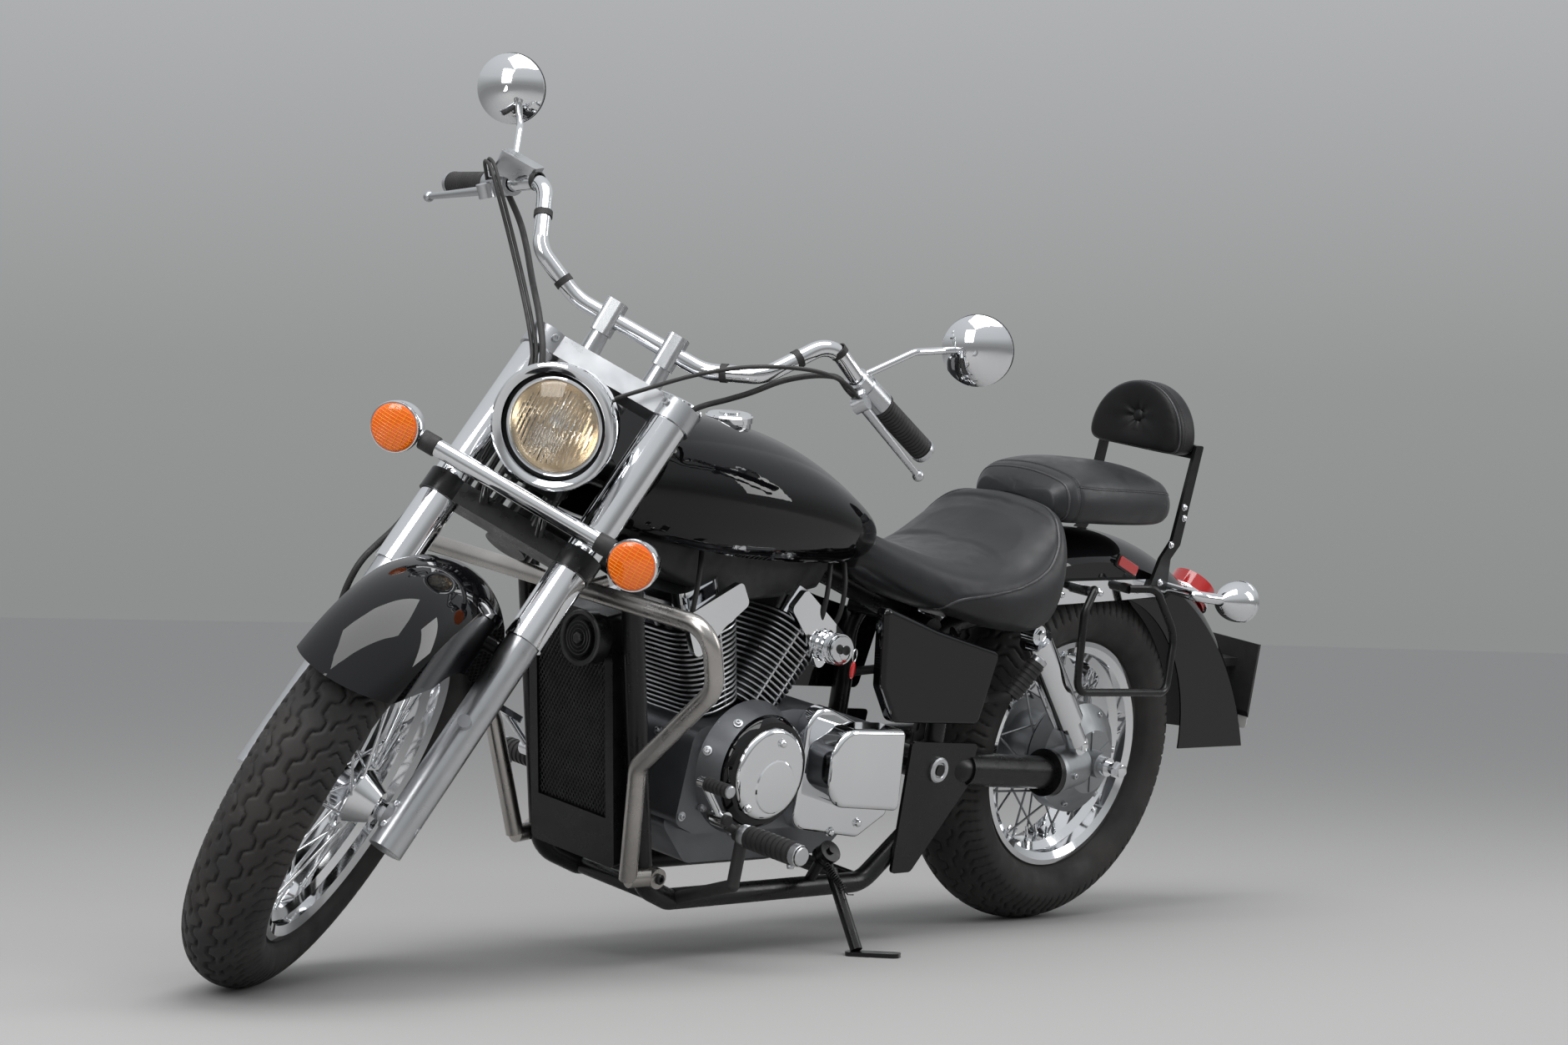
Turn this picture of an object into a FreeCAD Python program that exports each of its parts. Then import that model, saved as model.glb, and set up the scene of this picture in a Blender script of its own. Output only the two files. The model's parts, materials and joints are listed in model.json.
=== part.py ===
"""Cruiser motorcycle, parked on its side stand with the bars turned to the left stop.

Everything is drawn upright and straight ahead first: X forward, Y to the rider's left, Z up,
with the ground under the rear axle as the drawing's zero. Then the front end is turned about the
steering head, and the whole machine is leaned and pitched until both tyres touch the ground.
All sizes are in millimetres, and all angles in degrees.
"""

import math
import os

import FreeCAD
import Part

V = FreeCAD.Vector

# Chassis layout
WHEELBASE = 1640.0
RAKE = 34.0
TRAIL = 161.0
STEER_LOCK = 37.0
LEAN = 11.2

# Tyres and rims
FRONT_RADIUS = 324.0
FRONT_TYRE_WIDTH = 118.0
FRONT_CROWN_R = 60.0
FRONT_RIM_R = 233.0
FRONT_RIM_WIDTH = 84.0
REAR_RADIUS = 318.0
REAR_TYRE_WIDTH = 160.0
REAR_CROWN_R = 88.0
REAR_RIM_R = 207.0
REAR_RIM_WIDTH = 112.0
RIM_LIP = 4.0
RIM_WELL_DEPTH = 33.0
SPOKE_R = 2.0
SPOKES_PER_FLANGE = 18
SPOKE_SWEEP = 34.0

# Hubs and axles
FRONT_AXLE_R = 9.0
REAR_AXLE_R = 10.0
AXLE_CLEARANCE = 0.05
FRONT_HUB_R = 30.0
FRONT_FLANGE_R = 52.0
FRONT_FLANGE_Y = 34.0
REAR_HUB_R = 62.0
REAR_FLANGE_R = 88.0
REAR_FLANGE_Y = 38.0
FLANGE_T = 5.0
DISC_R = 148.0
DISC_BORE_R = 62.0
DISC_T = 5.0
DISC_Y = -62.0

# Fork
FORK_Y = 112.0
SLIDER_R = 26.0
COVER_R = 30.0
SLIDER_TOP = 312.0
FORK_TOP = 742.0
SLIDER_FOOT = 46.0
BRIDGE_T = 34.0
LOWER_CLAMP_AT = 452.0
HEAD_TUBE_R = 31.0
HEAD_TUBE_LOW = 482.0
HEAD_TUBE_HIGH = 690.0
STEM_R = 15.0
RUNNING_GAP = 0.3

# Handlebar, measured from the top of the fork: ahead of it, and above it
BAR_R = 12.7
RISER_Y = 54.0
RISER_R = 15.0
GRIP_R = 17.0
FOOT_PIN_R = 5.0
TOE_LENGTH = 58.0
TOE_R = 8.0
THROTTLE_CABLE_R = 2.8
CLUTCH_CABLE_R = 3.2
WIRES_R = 4.4
HOSE_R = 5.0
GRIP_LENGTH = 122.0

# Lamps on the front end: how far up the fork, and how far ahead of it
LAMP_UP = 572.0
LAMP_AHEAD = 135.0
LAMP_R = 92.0
LAMP_LENGTH = 135.0
LENS_R = 78.0
SIGNAL_UP = 476.6
SIGNAL_AHEAD = 80.2
SIGNAL_Y = 201.0
SIGNAL_R = 37.0
SIGNAL_DEEP = 66.0
LIGHT_BAR_R = 13.0

# Fenders
FRONT_FENDER_R = 357.0
FRONT_FENDER_HALF = 76.0
FRONT_FENDER_FROM = 30.0
FRONT_FENDER_TO = 155.0
FRONT_SKIRT = 135.0
REAR_FENDER_R = 628.0
REAR_FENDER_X = 26.0
REAR_FENDER_TOP = 725.0
REAR_FENDER_HALF = 90.0
REAR_FENDER_FROM = 72.0
REAR_FENDER_TO = 162.0
REAR_FENDER_LOW_Z = 327.0
REAR_ARCH_R = 300.0
SHEET_T = 3.0
PLATE_TOP = 522.0
PLATE_TALL = 170.0
PLATE_WIDE = 150.0

# Frame
TUBE_R = 17.0
CRADLE_Y = 118.0
CRADLE_LOW_Y = 104.0
CRADLE_BOTTOM_Z = 128.0
PIVOT_X = 440.0
PIVOT_Z = 322.0
PIVOT_Y = 112.0
ARM_Y = 116.0
BACKBONE_R = 24.0

# Engine
CRANK_X = 888.0
CRANK_Z = 337.0
FRONT_TILT = 22.0
REAR_TILT = -30.0
FIN_COUNT = 17
FIN_PITCH = 9.2
FIN_T = 3.2
FIN_FORE_AFT = 132.0
FIN_ACROSS = 178.0
FIN_CORNER_R = 44.0
BARREL_FROM = 92.0
HEAD_COVER_TALL = 54.0
CASE_HALF = 108.0
SUMP_HALF = 80.0
TIMING_R = 70.0

# Radiator, between the down tubes
RADIATOR_TOP_X = 1186.0
RADIATOR_TOP_Z = 578.0
RADIATOR_LOW_X = 1102.0
RADIATOR_LOW_Z = 186.0
RADIATOR_HALF = 96.0
RADIATOR_T = 52.0
RADIATOR_LUGS = (0.16, 0.86)
HORN_Y = 58.0
HORN_R = 40.0

# Seats

BACK_REST_R = 106.0
PAD_BACK_X = -190.0

# Crash bar
GUARD_R = 14.0
GUARD_BEND_R = 52.0
GUARD_X = 1262.0
GUARD_Z = 612.0
GUARD_OUT_Y = 335.0

# Side stand
STAND_PIVOT = V(690, 134, 190)
FOOT_PIVOT = V(1044, 222, 290)
TOE_AT = V(1101, 230, 350)
STAND_FOOT_X = 706.0
STAND_FOOT_Y = 244.0
STAND_LEG_R = 10.0
STAND_PAD_T = 7.0
STAND_PAD_WAY = 120.0
STAND_SWING = 92.0


def steering_axis():
    """Unit vector up the steering head, leaning back by the rake."""
    return V(-math.sin(math.radians(RAKE)), 0, math.cos(math.radians(RAKE)))


def steering_ground_point():
    return V(WHEELBASE + TRAIL, 0, 0)


def front_axle():
    return V(WHEELBASE, 0, FRONT_RADIUS)


def rear_axle():
    return V(0, 0, REAR_RADIUS)


def on_fork(distance, y=0.0):
    """A point that far up the fork's centre line from the front axle."""
    p = front_axle() + steering_axis() * distance
    return V(p.x, y, p.z)


def on_head(distance, y=0.0):
    """The point of the steering axis abreast of on_fork(distance)."""
    p = on_fork(distance, y) - fork_forward() * fork_offset()
    return V(p.x, y, p.z)


def fork_forward():
    """Unit vector square to the fork legs, pointing ahead."""
    return V(math.cos(math.radians(RAKE)), 0, math.sin(math.radians(RAKE)))


def fork_offset():
    rake = math.radians(RAKE)
    return FRONT_RADIUS * math.sin(rake) - TRAIL * math.cos(rake)


def off_fork(up, ahead, y=0.0):
    """A point that far up the fork and that far ahead of its centre line."""
    p = on_fork(up) + fork_forward() * ahead
    return V(p.x, y, p.z)


def from_bars(x, y, z):
    """A point of the handlebar, from the middle of the fork's top: ahead, left and up."""
    top = on_fork(FORK_TOP)
    return V(top.x + x, y, top.z + z)


def mirrored(shape):
    return shape.mirror(V(0, 0, 0), V(0, 1, 0))


def both_sides(shape):
    return Part.makeCompound([shape, mirrored(shape)])


def fused(shapes):
    shapes = [s for shape in shapes for s in (shape.Solids or [shape])]
    if len(shapes) == 1:
        return shapes[0]
    return shapes[0].multiFuse(shapes[1:]).removeSplitter()


def biggest(shape):
    """The largest solid, without the crumbs that a cut leaves beside it."""
    return max(shape.Solids, key=lambda solid: solid.Volume)


def rod(start, end, radius, end_radius=None):
    """A round bar, or a cone where end_radius is given."""
    along = end - start
    if end_radius is None or abs(end_radius - radius) < 1e-9:
        return Part.makeCylinder(radius, along.Length, start, along)
    return Part.makeCone(radius, end_radius, along.Length, start, along)


def ring(centre, axis, outer, inner, length):
    """A washer or sleeve, centred on a point."""
    base = centre - axis * (length / 2)
    body = Part.makeCylinder(outer, length, base, axis)
    return body.cut(Part.makeCylinder(inner, length + 2, base - axis, axis))


def bent_wire(points, bend):
    """Straight runs joined by tangent arcs. bend is one radius, or one for each inner point."""
    inner = points[1:-1]
    radii = bend if isinstance(bend, (list, tuple)) else [bend] * len(inner)
    edges, at = [], points[0]
    for corner, before, after, radius in zip(inner, points[:-2], points[2:], radii):
        back = (before - corner).normalize()
        on = (after - corner).normalize()
        half = back.getAngle(on) / 2
        reach = radius / math.tan(half)
        first, last = corner + back * reach, corner + on * reach
        middle_way = (back + on).normalize()
        middle = corner + middle_way * (radius / math.sin(half) - radius)
        edges.append(Part.LineSegment(at, first).toShape())
        edges.append(Part.Arc(first, middle, last).toShape())
        at = last
    edges.append(Part.LineSegment(at, points[-1]).toShape())
    return Part.Wire(edges)


def pipe(points, radius, bend):
    """A solid round tube along straight runs and bends."""
    path = bent_wire(points, bend)
    start = (points[1] - points[0]).normalize()
    section = Part.Wire(Part.Circle(points[0], start, radius).toShape())
    return path.makePipeShell([section], True, True)


def gentle_bends(points):
    """Bend radii as large as the runs beside each corner leave room for."""
    radii = []
    for before, corner, after in zip(points, points[1:], points[2:]):
        half = (before - corner).getAngle(after - corner) / 2
        radii.append(0.45 * min((before - corner).Length, (after - corner).Length) * math.tan(half))
    return radii


def side_outline(corners, y):
    """A closed wire in the plane of that y. Each corner is (x, z, corner radius)."""
    count = len(corners)
    points = [V(x, y, z) for x, z, _ in corners]
    edges, firsts, lasts = [], [], []
    for i, (_, _, radius) in enumerate(corners):
        corner = points[i]
        back = (points[i - 1] - corner).normalize()
        on = (points[(i + 1) % count] - corner).normalize()
        if radius <= 0:
            firsts.append(corner)
            lasts.append(corner)
            edges.append(None)
            continue
        half = back.getAngle(on) / 2
        reach = radius / math.tan(half)
        first, last = corner + back * reach, corner + on * reach
        middle = corner + (back + on).normalize() * (radius / math.sin(half) - radius)
        firsts.append(first)
        lasts.append(last)
        edges.append(Part.Arc(first, middle, last).toShape())
    outline = []
    for i in range(count):
        if edges[i] is not None:
            outline.append(edges[i])
        if (lasts[i] - firsts[(i + 1) % count]).Length > 1e-6:
            outline.append(Part.LineSegment(lasts[i], firsts[(i + 1) % count]).toShape())
    return Part.Wire(outline)


def side_plate(corners, y_from, y_to):
    """A flat piece whose outline is seen from the side."""
    face = Part.Face(side_outline(corners, y_from))
    return face.extrude(V(0, y_to - y_from, 0))


def turned(profile, centre):
    """A closed profile of (radius, y) points or ("arc", through, to) steps, spun about the wheel axis."""
    edges = []
    first = at = V(centre.x, centre.y + profile[0][1], centre.z + profile[0][0])
    for step in profile[1:] + [profile[0]]:
        if step[0] == "arc":
            through = V(centre.x, centre.y + step[1][1], centre.z + step[1][0])
            to = V(centre.x, centre.y + step[2][1], centre.z + step[2][0])
            edges.append(Part.Arc(at, through, to).toShape())
        else:
            to = V(centre.x, centre.y + step[1], centre.z + step[0])
            if (to - at).Length > 1e-6:
                edges.append(Part.LineSegment(at, to).toShape())
        at = to
    if (at - first).Length > 1e-6:
        edges.append(Part.LineSegment(at, first).toShape())
    return Part.Face(Part.Wire(edges)).revolve(centre, V(0, 1, 0), 360)


def body_section(x, low, high, half, foot_share, shoulder_share, crown_share):
    """One cross-section of a tank or seat: flat foot, bulging sides and a crowned top."""
    tall = high - low
    foot = V(x, half * foot_share, low)
    belly = V(x, half, low + tall * 0.40)
    shoulder = V(x, half * shoulder_share, high - tall * crown_share)
    top = V(x, 0, high)
    foot_m, belly_m, shoulder_m = (V(p.x, -p.y, p.z) for p in (foot, belly, shoulder))
    return Part.Wire([
        Part.LineSegment(foot_m, foot).toShape(),
        Part.Arc(foot, belly, shoulder).toShape(),
        Part.Arc(shoulder, top, shoulder_m).toShape(),
        Part.Arc(shoulder_m, belly_m, foot_m).toShape(),
    ])


def fillet_facing(shape, way, radius):
    """Round the rim of the flat face that looks that way."""
    faces = [f for f in shape.Faces if f.Surface.TypeId == "Part::GeomPlane" and f.normalAt(0, 0).dot(way) > 0.999]
    face = max(faces, key=lambda f: f.CenterOfMass.dot(way))
    return shape.makeFillet(radius, face.OuterWire.Edges)


def lofted(sections):
    return Part.makeLoft(sections, True, False)


# Wheels

def tyre(centre, radius, width, crown_r, rim_r, rim_width):
    """A solid ring: round crown, bulging sidewalls, and beads that sit between the rim's lips."""
    half = width / 2
    seat = rim_width / 2 - RIM_LIP - RUNNING_GAP
    inner = rim_r - 15.0
    spread = math.asin(min(1.0, half / crown_r))
    shoulder = radius - crown_r + crown_r * math.cos(spread)
    bead = rim_r + 3.0
    bulge = (shoulder + bead) / 2
    bulge_y = half * 0.995
    return turned([
        (inner, -seat),
        (bead, -seat),
        ("arc", (bulge - 6, -bulge_y + 4), (shoulder, -half)),
        ("arc", (radius, 0.0), (shoulder, half)),
        ("arc", (bulge - 6, bulge_y - 4), (bead, seat)),
        (inner, seat),
    ], centre)


def rim(centre, rim_r, rim_width):
    """A chrome drop-centre rim with rolled lips."""
    half = rim_width / 2
    lip = half - RIM_LIP
    seat_r = rim_r - 15.0 - RUNNING_GAP
    well = rim_r - RIM_WELL_DEPTH
    return turned([
        (rim_r, -half), (rim_r, -lip), (seat_r, -lip), (seat_r, lip), (rim_r, lip), (rim_r, half),
        (rim_r - 9, half + 1.5), (seat_r - 6, half - 6), (seat_r - 6, half * 0.55),
        (well, half * 0.34), (well, -half * 0.34), (seat_r - 6, -half * 0.55),
        (seat_r - 6, -half + 6), (rim_r - 9, -half - 1.5),
    ], centre)


def spokes(centre, hub_y, flange_r, rim_inner_r, rim_y):
    """Laced spokes: on each flange half lean forward and half lean back."""
    made = []
    step = 360.0 / SPOKES_PER_FLANGE
    for side in (1, -1):
        for i in range(SPOKES_PER_FLANGE):
            leading = 1 if i % 2 else -1
            at_hub = math.radians(step * i + (step / 2 if side < 0 else 0))
            at_rim = at_hub + leading * math.radians(SPOKE_SWEEP)
            skew = FLANGE_T / 2 + SPOKE_R - 0.8
            hub_end = centre + V(
                (flange_r - 6) * math.cos(at_hub),
                side * (hub_y + leading * skew),
                (flange_r - 6) * math.sin(at_hub))
            rim_end = centre + V(
                rim_inner_r * math.cos(at_rim), side * (rim_y + leading * 1.0), rim_inner_r * math.sin(at_rim))
            made.append(rod(hub_end, rim_end, SPOKE_R))
    return made


def front_hub():
    """Slim hub with two spoke flanges, its spokes, and the bore for the axle."""
    c, y = front_axle(), V(0, 1, 0)
    body = [
        Part.makeCylinder(FRONT_HUB_R, 2 * FRONT_FLANGE_Y + 20, c - y * (FRONT_FLANGE_Y + 10), y),
        rod(c + y * (FRONT_FLANGE_Y - 2), c + y * (FRONT_FLANGE_Y + 36), FRONT_FLANGE_R - 8, 24.0),
        ring(c + y * FRONT_FLANGE_Y, y, FRONT_FLANGE_R, 10, FLANGE_T),
        ring(c - y * FRONT_FLANGE_Y, y, FRONT_FLANGE_R, 10, FLANGE_T),
    ]
    rim_inner = FRONT_RIM_R - RIM_WELL_DEPTH - 0.3
    made = fused(body + spokes(c, FRONT_FLANGE_Y, FRONT_FLANGE_R, rim_inner, 7.0))
    bore = FRONT_AXLE_R + AXLE_CLEARANCE
    return made.cut(Part.makeCylinder(bore, 200, c - y * 100, y))


def front_disc():
    """Brake disc on the right, on a carrier that bolts to the hub's end."""
    c, y = front_axle(), V(0, 1, 0)
    disc = ring(c + y * DISC_Y, y, DISC_R, DISC_R - 44, DISC_T)
    hub_end = -(FRONT_FLANGE_Y + 10) - RUNNING_GAP
    carrier_y = (DISC_Y - DISC_T / 2 + hub_end) / 2
    sleeve = ring(c + y * carrier_y, y, 34, FRONT_AXLE_R + AXLE_CLEARANCE + 6, abs(DISC_Y - DISC_T / 2 - hub_end))
    arms = []
    for i in range(5):
        a = math.radians(72 * i + 18)
        out = V(math.cos(a), 0, math.sin(a))
        arm = Part.makeBox(DISC_R - 34 - 26, DISC_T, 26, V(28, DISC_Y - DISC_T / 2, -13))
        arm.rotate(V(0, 0, 0), V(0, 1, 0), -math.degrees(a))
        arm.translate(c)
        arms.append(arm)
    return fused([disc, sleeve] + arms)


def rear_hub():
    """Wide drum hub with its spokes."""
    c, y = rear_axle(), V(0, 1, 0)
    body = [
        Part.makeCylinder(REAR_HUB_R, 2 * REAR_FLANGE_Y + 8, c - y * (REAR_FLANGE_Y + 4), y),
        ring(c + y * REAR_FLANGE_Y, y, REAR_FLANGE_R, 20, FLANGE_T),
        ring(c - y * REAR_FLANGE_Y, y, REAR_FLANGE_R, 20, FLANGE_T),
    ]
    rim_inner = REAR_RIM_R - RIM_WELL_DEPTH - 0.3
    made = fused(body + spokes(c, REAR_FLANGE_Y, REAR_FLANGE_R, rim_inner, 10.0))
    bore = REAR_AXLE_R + AXLE_CLEARANCE
    return made.cut(Part.makeCylinder(bore, 240, c - y * 120, y))


# Front end, drawn straight ahead

def fork_sliders():
    """Cast lower legs with the axle lug, caliper lug and fender boss on each."""
    legs = []
    for side in (1, -1):
        y = side * FORK_Y
        foot, top = on_fork(-SLIDER_FOOT, y), on_fork(SLIDER_TOP, y)
        leg = [
            rod(foot, top, SLIDER_R),
            rod(on_fork(0, y - side * 27), on_fork(0, y + side * 8), 22),
            rod(on_fork(SLIDER_TOP - 150, y) + fork_forward() * -8,
                on_fork(SLIDER_TOP - 150, y) + fork_forward() * 40, 10),
        ]
        legs.append(fused(leg).cut(rod(on_fork(0, y - 60), on_fork(0, y + 60), FRONT_AXLE_R + AXLE_CLEARANCE)))
    return Part.makeCompound(legs)


def fork_covers():
    """Chrome tubes over the upper legs."""
    covers = []
    for side in (1, -1):
        y = side * FORK_Y
        low = rod(on_fork(SLIDER_TOP + RUNNING_GAP, y), on_fork(LOWER_CLAMP_AT - BRIDGE_T / 2 - RUNNING_GAP, y), COVER_R)
        high = rod(on_fork(LOWER_CLAMP_AT + BRIDGE_T / 2 + RUNNING_GAP, y),
                   on_fork(FORK_TOP - BRIDGE_T - RUNNING_GAP, y), COVER_R)
        covers += [low, high]
    return Part.makeCompound(covers)


def clamp(at, thickness, reach_back):
    """One bridge of the fork: a bar across with an eye round each leg and one for the stem."""
    up = steering_axis()
    low = -thickness / 2
    eyes = [rod(on_fork(at + low, s * FORK_Y), on_fork(at - low, s * FORK_Y), COVER_R + 4) for s in (1, -1)]
    bar = Part.makeBox(48, 2 * FORK_Y, thickness, V(-24, -FORK_Y, low))
    bar.rotate(V(0, 0, 0), V(0, 1, 0), -RAKE)
    bar.translate(on_fork(at))
    boss = rod(on_head(at + low), on_head(at - low), HEAD_TUBE_R + reach_back)
    return fused(eyes + [bar, boss]), up


def top_bridge():
    return clamp(FORK_TOP - BRIDGE_T / 2, BRIDGE_T, 3)[0]


def lower_bridge():
    """Lower clamp with the steering stem that turns in the head tube."""
    body = clamp(LOWER_CLAMP_AT, BRIDGE_T, 3)[0]
    stem = rod(on_head(LOWER_CLAMP_AT), on_head(FORK_TOP - BRIDGE_T - RUNNING_GAP), STEM_R)
    lamp = off_fork(LAMP_UP, LAMP_AHEAD) - V(62, 0, 0)
    arms = [rod(off_fork(LOWER_CLAMP_AT, 12, s * 34), lamp - V(0, -s * 30, LAMP_R + 2), 9) for s in (1, -1)]
    cup = Part.makeBox(54, 96, 34, V(lamp.x - 30, -48, lamp.z - LAMP_R - 14))
    cup = cup.makeFillet(8, [e for e in cup.Edges if abs(e.tangentAt(e.FirstParameter).z) > 0.9])
    return fused([body, stem, cup] + arms)


def front_axle_rod():
    c, y = front_axle(), V(0, 1, 0)
    shaft = Part.makeCylinder(FRONT_AXLE_R, 2 * (FORK_Y + 10), c - y * (FORK_Y + 10), y)
    heads = [Part.makeCylinder(15, 8, c + y * (s * (FORK_Y + 9.5) + (-8 if s < 0 else 0)), y) for s in (1, -1)]
    spacers = [ring(c + y * (FRONT_FLANGE_Y + 36 + 8.2), y, 15, FRONT_AXLE_R - 1, 14)]
    return fused([shaft] + heads + spacers)


def risers():
    """Two tall posts that clamp the bar above the top bridge."""
    made = []
    for side in (1, -1):
        y = side * RISER_Y
        foot = on_head(FORK_TOP + RUNNING_GAP, y) + fork_forward() * 30
        top = bar_points()[0] + V(0, y, 0)
        up = (top - foot).normalize()
        block = Part.makeBox(36, 32, 54, V(-18, -16, -27))
        block = block.makeFillet(9, [e for e in block.Edges if abs(e.tangentAt(e.FirstParameter).z) > 0.9])
        block.Placement = FreeCAD.Placement(top, FreeCAD.Rotation(V(0, 0, 1), up))
        post = fused([rod(foot, top, RISER_R + 2, RISER_R - 2), block])
        made.append(post.cut(rod(top - V(0, 30, 0), top + V(0, 30, 0), BAR_R + 0.02)))
    return Part.makeCompound(made)


def bar_points():
    """The left half of the handlebar's centre line, from the middle out to the grip's end."""
    return [from_bars(x, y, z) for x, y, z in (
        (-37, 0, 58), (-37, 112, 58), (-35, 196, 97), (-103, 252, 179), (-139, 312, 139), (-259, 428, 69),
    )]


def grip_axis():
    """(inner end, unit vector outwards) of the left grip."""
    inner, outer = bar_points()[-2:]
    out = (outer - inner).normalize()
    return outer - out * GRIP_LENGTH, out


def handlebar():
    left = bar_points()
    right = [V(p.x, -p.y, p.z) for p in left[:0:-1]]
    return pipe(right + left[1:], BAR_R, [36, 42, 44, 90, 90, 44, 42, 36])


def grips():
    inner, out = grip_axis()
    sleeve = rod(inner, inner + out * (GRIP_LENGTH + 6), GRIP_R)
    sleeve = sleeve.cut(rod(inner - out, inner + out * GRIP_LENGTH, BAR_R + 0.02))
    return both_sides(sleeve)


def controls():
    """Switch housing, lever perch and lever on each side, with the brake's fluid box on the right."""
    inner, out = grip_axis()
    ahead = V(0.55, 0, 0.83)
    ahead = (ahead - out * ahead.dot(out)).normalize()
    front = ahead.cross(out).normalize()
    if front.x < 0:
        front = front * -1
    switch = rod(inner - out * 46, inner - out * 0.4, 21)
    perch_at = inner - out * 56
    perch = rod(perch_at - out * 12, perch_at + out * 12, 19)
    arm = rod(perch_at, perch_at + front * 40, 8)
    knuckle = perch_at + front * 42
    tip = from_bars(-227, 448, 37)
    lever = rod(knuckle, tip, 7.5, 5.0)
    ball = Part.makeSphere(9, tip)
    pin = rod(knuckle - ahead * 11, knuckle + ahead * 11, 13)
    left = fused([switch, perch, arm, pin, lever, ball])
    left = left.cut(rod(inner - out * 110, inner, BAR_R + 0.02))
    right = mirrored(left)
    box_at = V(perch_at.x, -perch_at.y, perch_at.z) + V(10, 6, 30)
    box = Part.makeBox(48, 62, 34, V(-24, -31, -17))
    box = box.makeFillet(6, [e for e in box.Edges if abs(e.tangentAt(e.FirstParameter).z) > 0.9])
    box.translate(box_at)
    return Part.makeCompound([left, fused([right, box]).cut(mirrored(rod(inner - out * 110, inner, BAR_R + 0.02)))])


def control_cables():
    """Two throttle cables, brake hose and clutch cable, the left switch's wires, and the hose to the caliper."""
    throttle = [
        (-154, -347, 131), (-104, -352, 166), (-62, -326, 172), (-48, -294, 144), (-48, -252, 98), (-30, -196, 44),
        (30, -138, 8), (80, -94, -22), (108, -68, -112), (152, -69, -230),
    ]
    return_throttle = [
        (-153, -352, 124), (-101, -355, 161), (-59, -329, 167), (-45, -297, 139), (-45, -255, 93), (-27, -199, 39),
        (33, -141, 3), (84, -98, -27), (116, -72, -106), (161, -72, -230),
    ]
    hose = [
        (-150, -312, 122), (-152, -274, 92), (-128, -240, 66), (-70, -196, 42), (39, -134, 29), (88, -84, -14),
        (98, -54, -118), (151, -56, -231),
    ]
    clutch = [
        (154, -14, -232), (92, -12, -140), (44, 0, -72), (72, 30, -21), (40, 62, 10), (20, 110, 58),
        (0, 166, 101), (-8, 220, 131), (-20, 270, 150), (-60, 308, 146), (-108, 328, 123),
    ]
    wires = [
        (-18, 106, -26), (-62, 130, 6), (-54, 156, 30), (-36, 192, 67), (-30, 224, 107), (-44, 262, 136),
        (-80, 290, 144), (-108, 306, 126), (-152, 328, 110),
    ]
    lower_hose = [
        (146, -132, -252), (140, -148, -286), (166, -152, -328), (208, -154, -348), (240, -158, -374),
        (246, -159, -412), (242, -156, -452), (246, -146, -504), (262, -124, -560), (284, -80, -606),
    ]
    made = []
    for route, radius in (
        (throttle, THROTTLE_CABLE_R), (return_throttle, THROTTLE_CABLE_R), (hose, HOSE_R),
        (clutch, CLUTCH_CABLE_R), (wires, WIRES_R), (lower_hose, HOSE_R),
    ):
        points = [from_bars(x, y, z) for x, y, z in route]
        made.append(pipe(points, radius, gentle_bends(points)))
    return Part.makeCompound(made)


def mirrors():
    """Round mirror heads on bent stems."""
    foot, base = from_bars(-142, 312, 147), from_bars(-147, 318, 157)
    elbow, head = from_bars(-209, 356, 207), from_bars(-299, 404, 227)
    stem = pipe([foot, base, elbow, head], 5.5, [8, 30])
    face = from_bars(-307, 428, 237)
    shell = Part.makeSphere(70, face - V(42, 0, 0), V(1, 0, 0), 36.9, 90, 360)
    rim_disc = Part.makeCylinder(56, 8, face - V(8, 0, 0), V(1, 0, 0))
    return both_sides(fused([stem, shell, rim_disc]))


def headlamp():
    """Chrome bowl, open at the front, with a rolled ring."""
    x = V(1, 0, 0)
    front = off_fork(LAMP_UP, LAMP_AHEAD)
    ring_part = ring(front - x * 14, x, LAMP_R, LENS_R, 28)
    bowl_front = front - x * 28
    bowl = rod(bowl_front, bowl_front - x * 50, LAMP_R - 3, LAMP_R - 16)
    cap = rod(bowl_front - x * 50, bowl_front - x * (LAMP_LENGTH - 28), LAMP_R - 16, 34)
    return fused([ring_part, bowl, cap])


def headlamp_lens():
    x = V(1, 0, 0)
    back = off_fork(LAMP_UP, LAMP_AHEAD) - x * (28 - RUNNING_GAP)
    disc = Part.makeCylinder(LENS_R - 0.4, 12, back, x)
    dome_r = 190.0
    reach = math.sqrt(dome_r ** 2 - (LENS_R - 0.4) ** 2)
    dome = Part.makeSphere(dome_r, back + x * (12 - reach))
    front = dome.common(Part.makeCylinder(LENS_R - 0.4, 60, back + x * 12, x))
    return fused([disc, front])


def light_bar():
    """Chrome bar across the front, on two brackets from the lower bridge."""
    y = V(0, 1, 0)
    mid = off_fork(SIGNAL_UP, SIGNAL_AHEAD)
    bar = Part.makeCylinder(LIGHT_BAR_R, 2 * (SIGNAL_Y - 52), mid - y * (SIGNAL_Y - 52), y)
    made = [bar]
    for side in (1, -1):
        root = off_fork(LOWER_CLAMP_AT + 6, 20, side * 48)
        made.append(rod(root, mid + V(0, side * 48, 0), 7))
    return fused(made).cut(top_of_lower_bridge())


def top_of_lower_bridge():
    bar = Part.makeBox(48.4, 2 * FORK_Y, BRIDGE_T + 0.4, V(-24.2, -FORK_Y, -BRIDGE_T / 2 - 0.2))
    bar.rotate(V(0, 0, 0), V(0, 1, 0), -RAKE)
    bar.translate(on_fork(LOWER_CLAMP_AT))
    return bar


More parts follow.
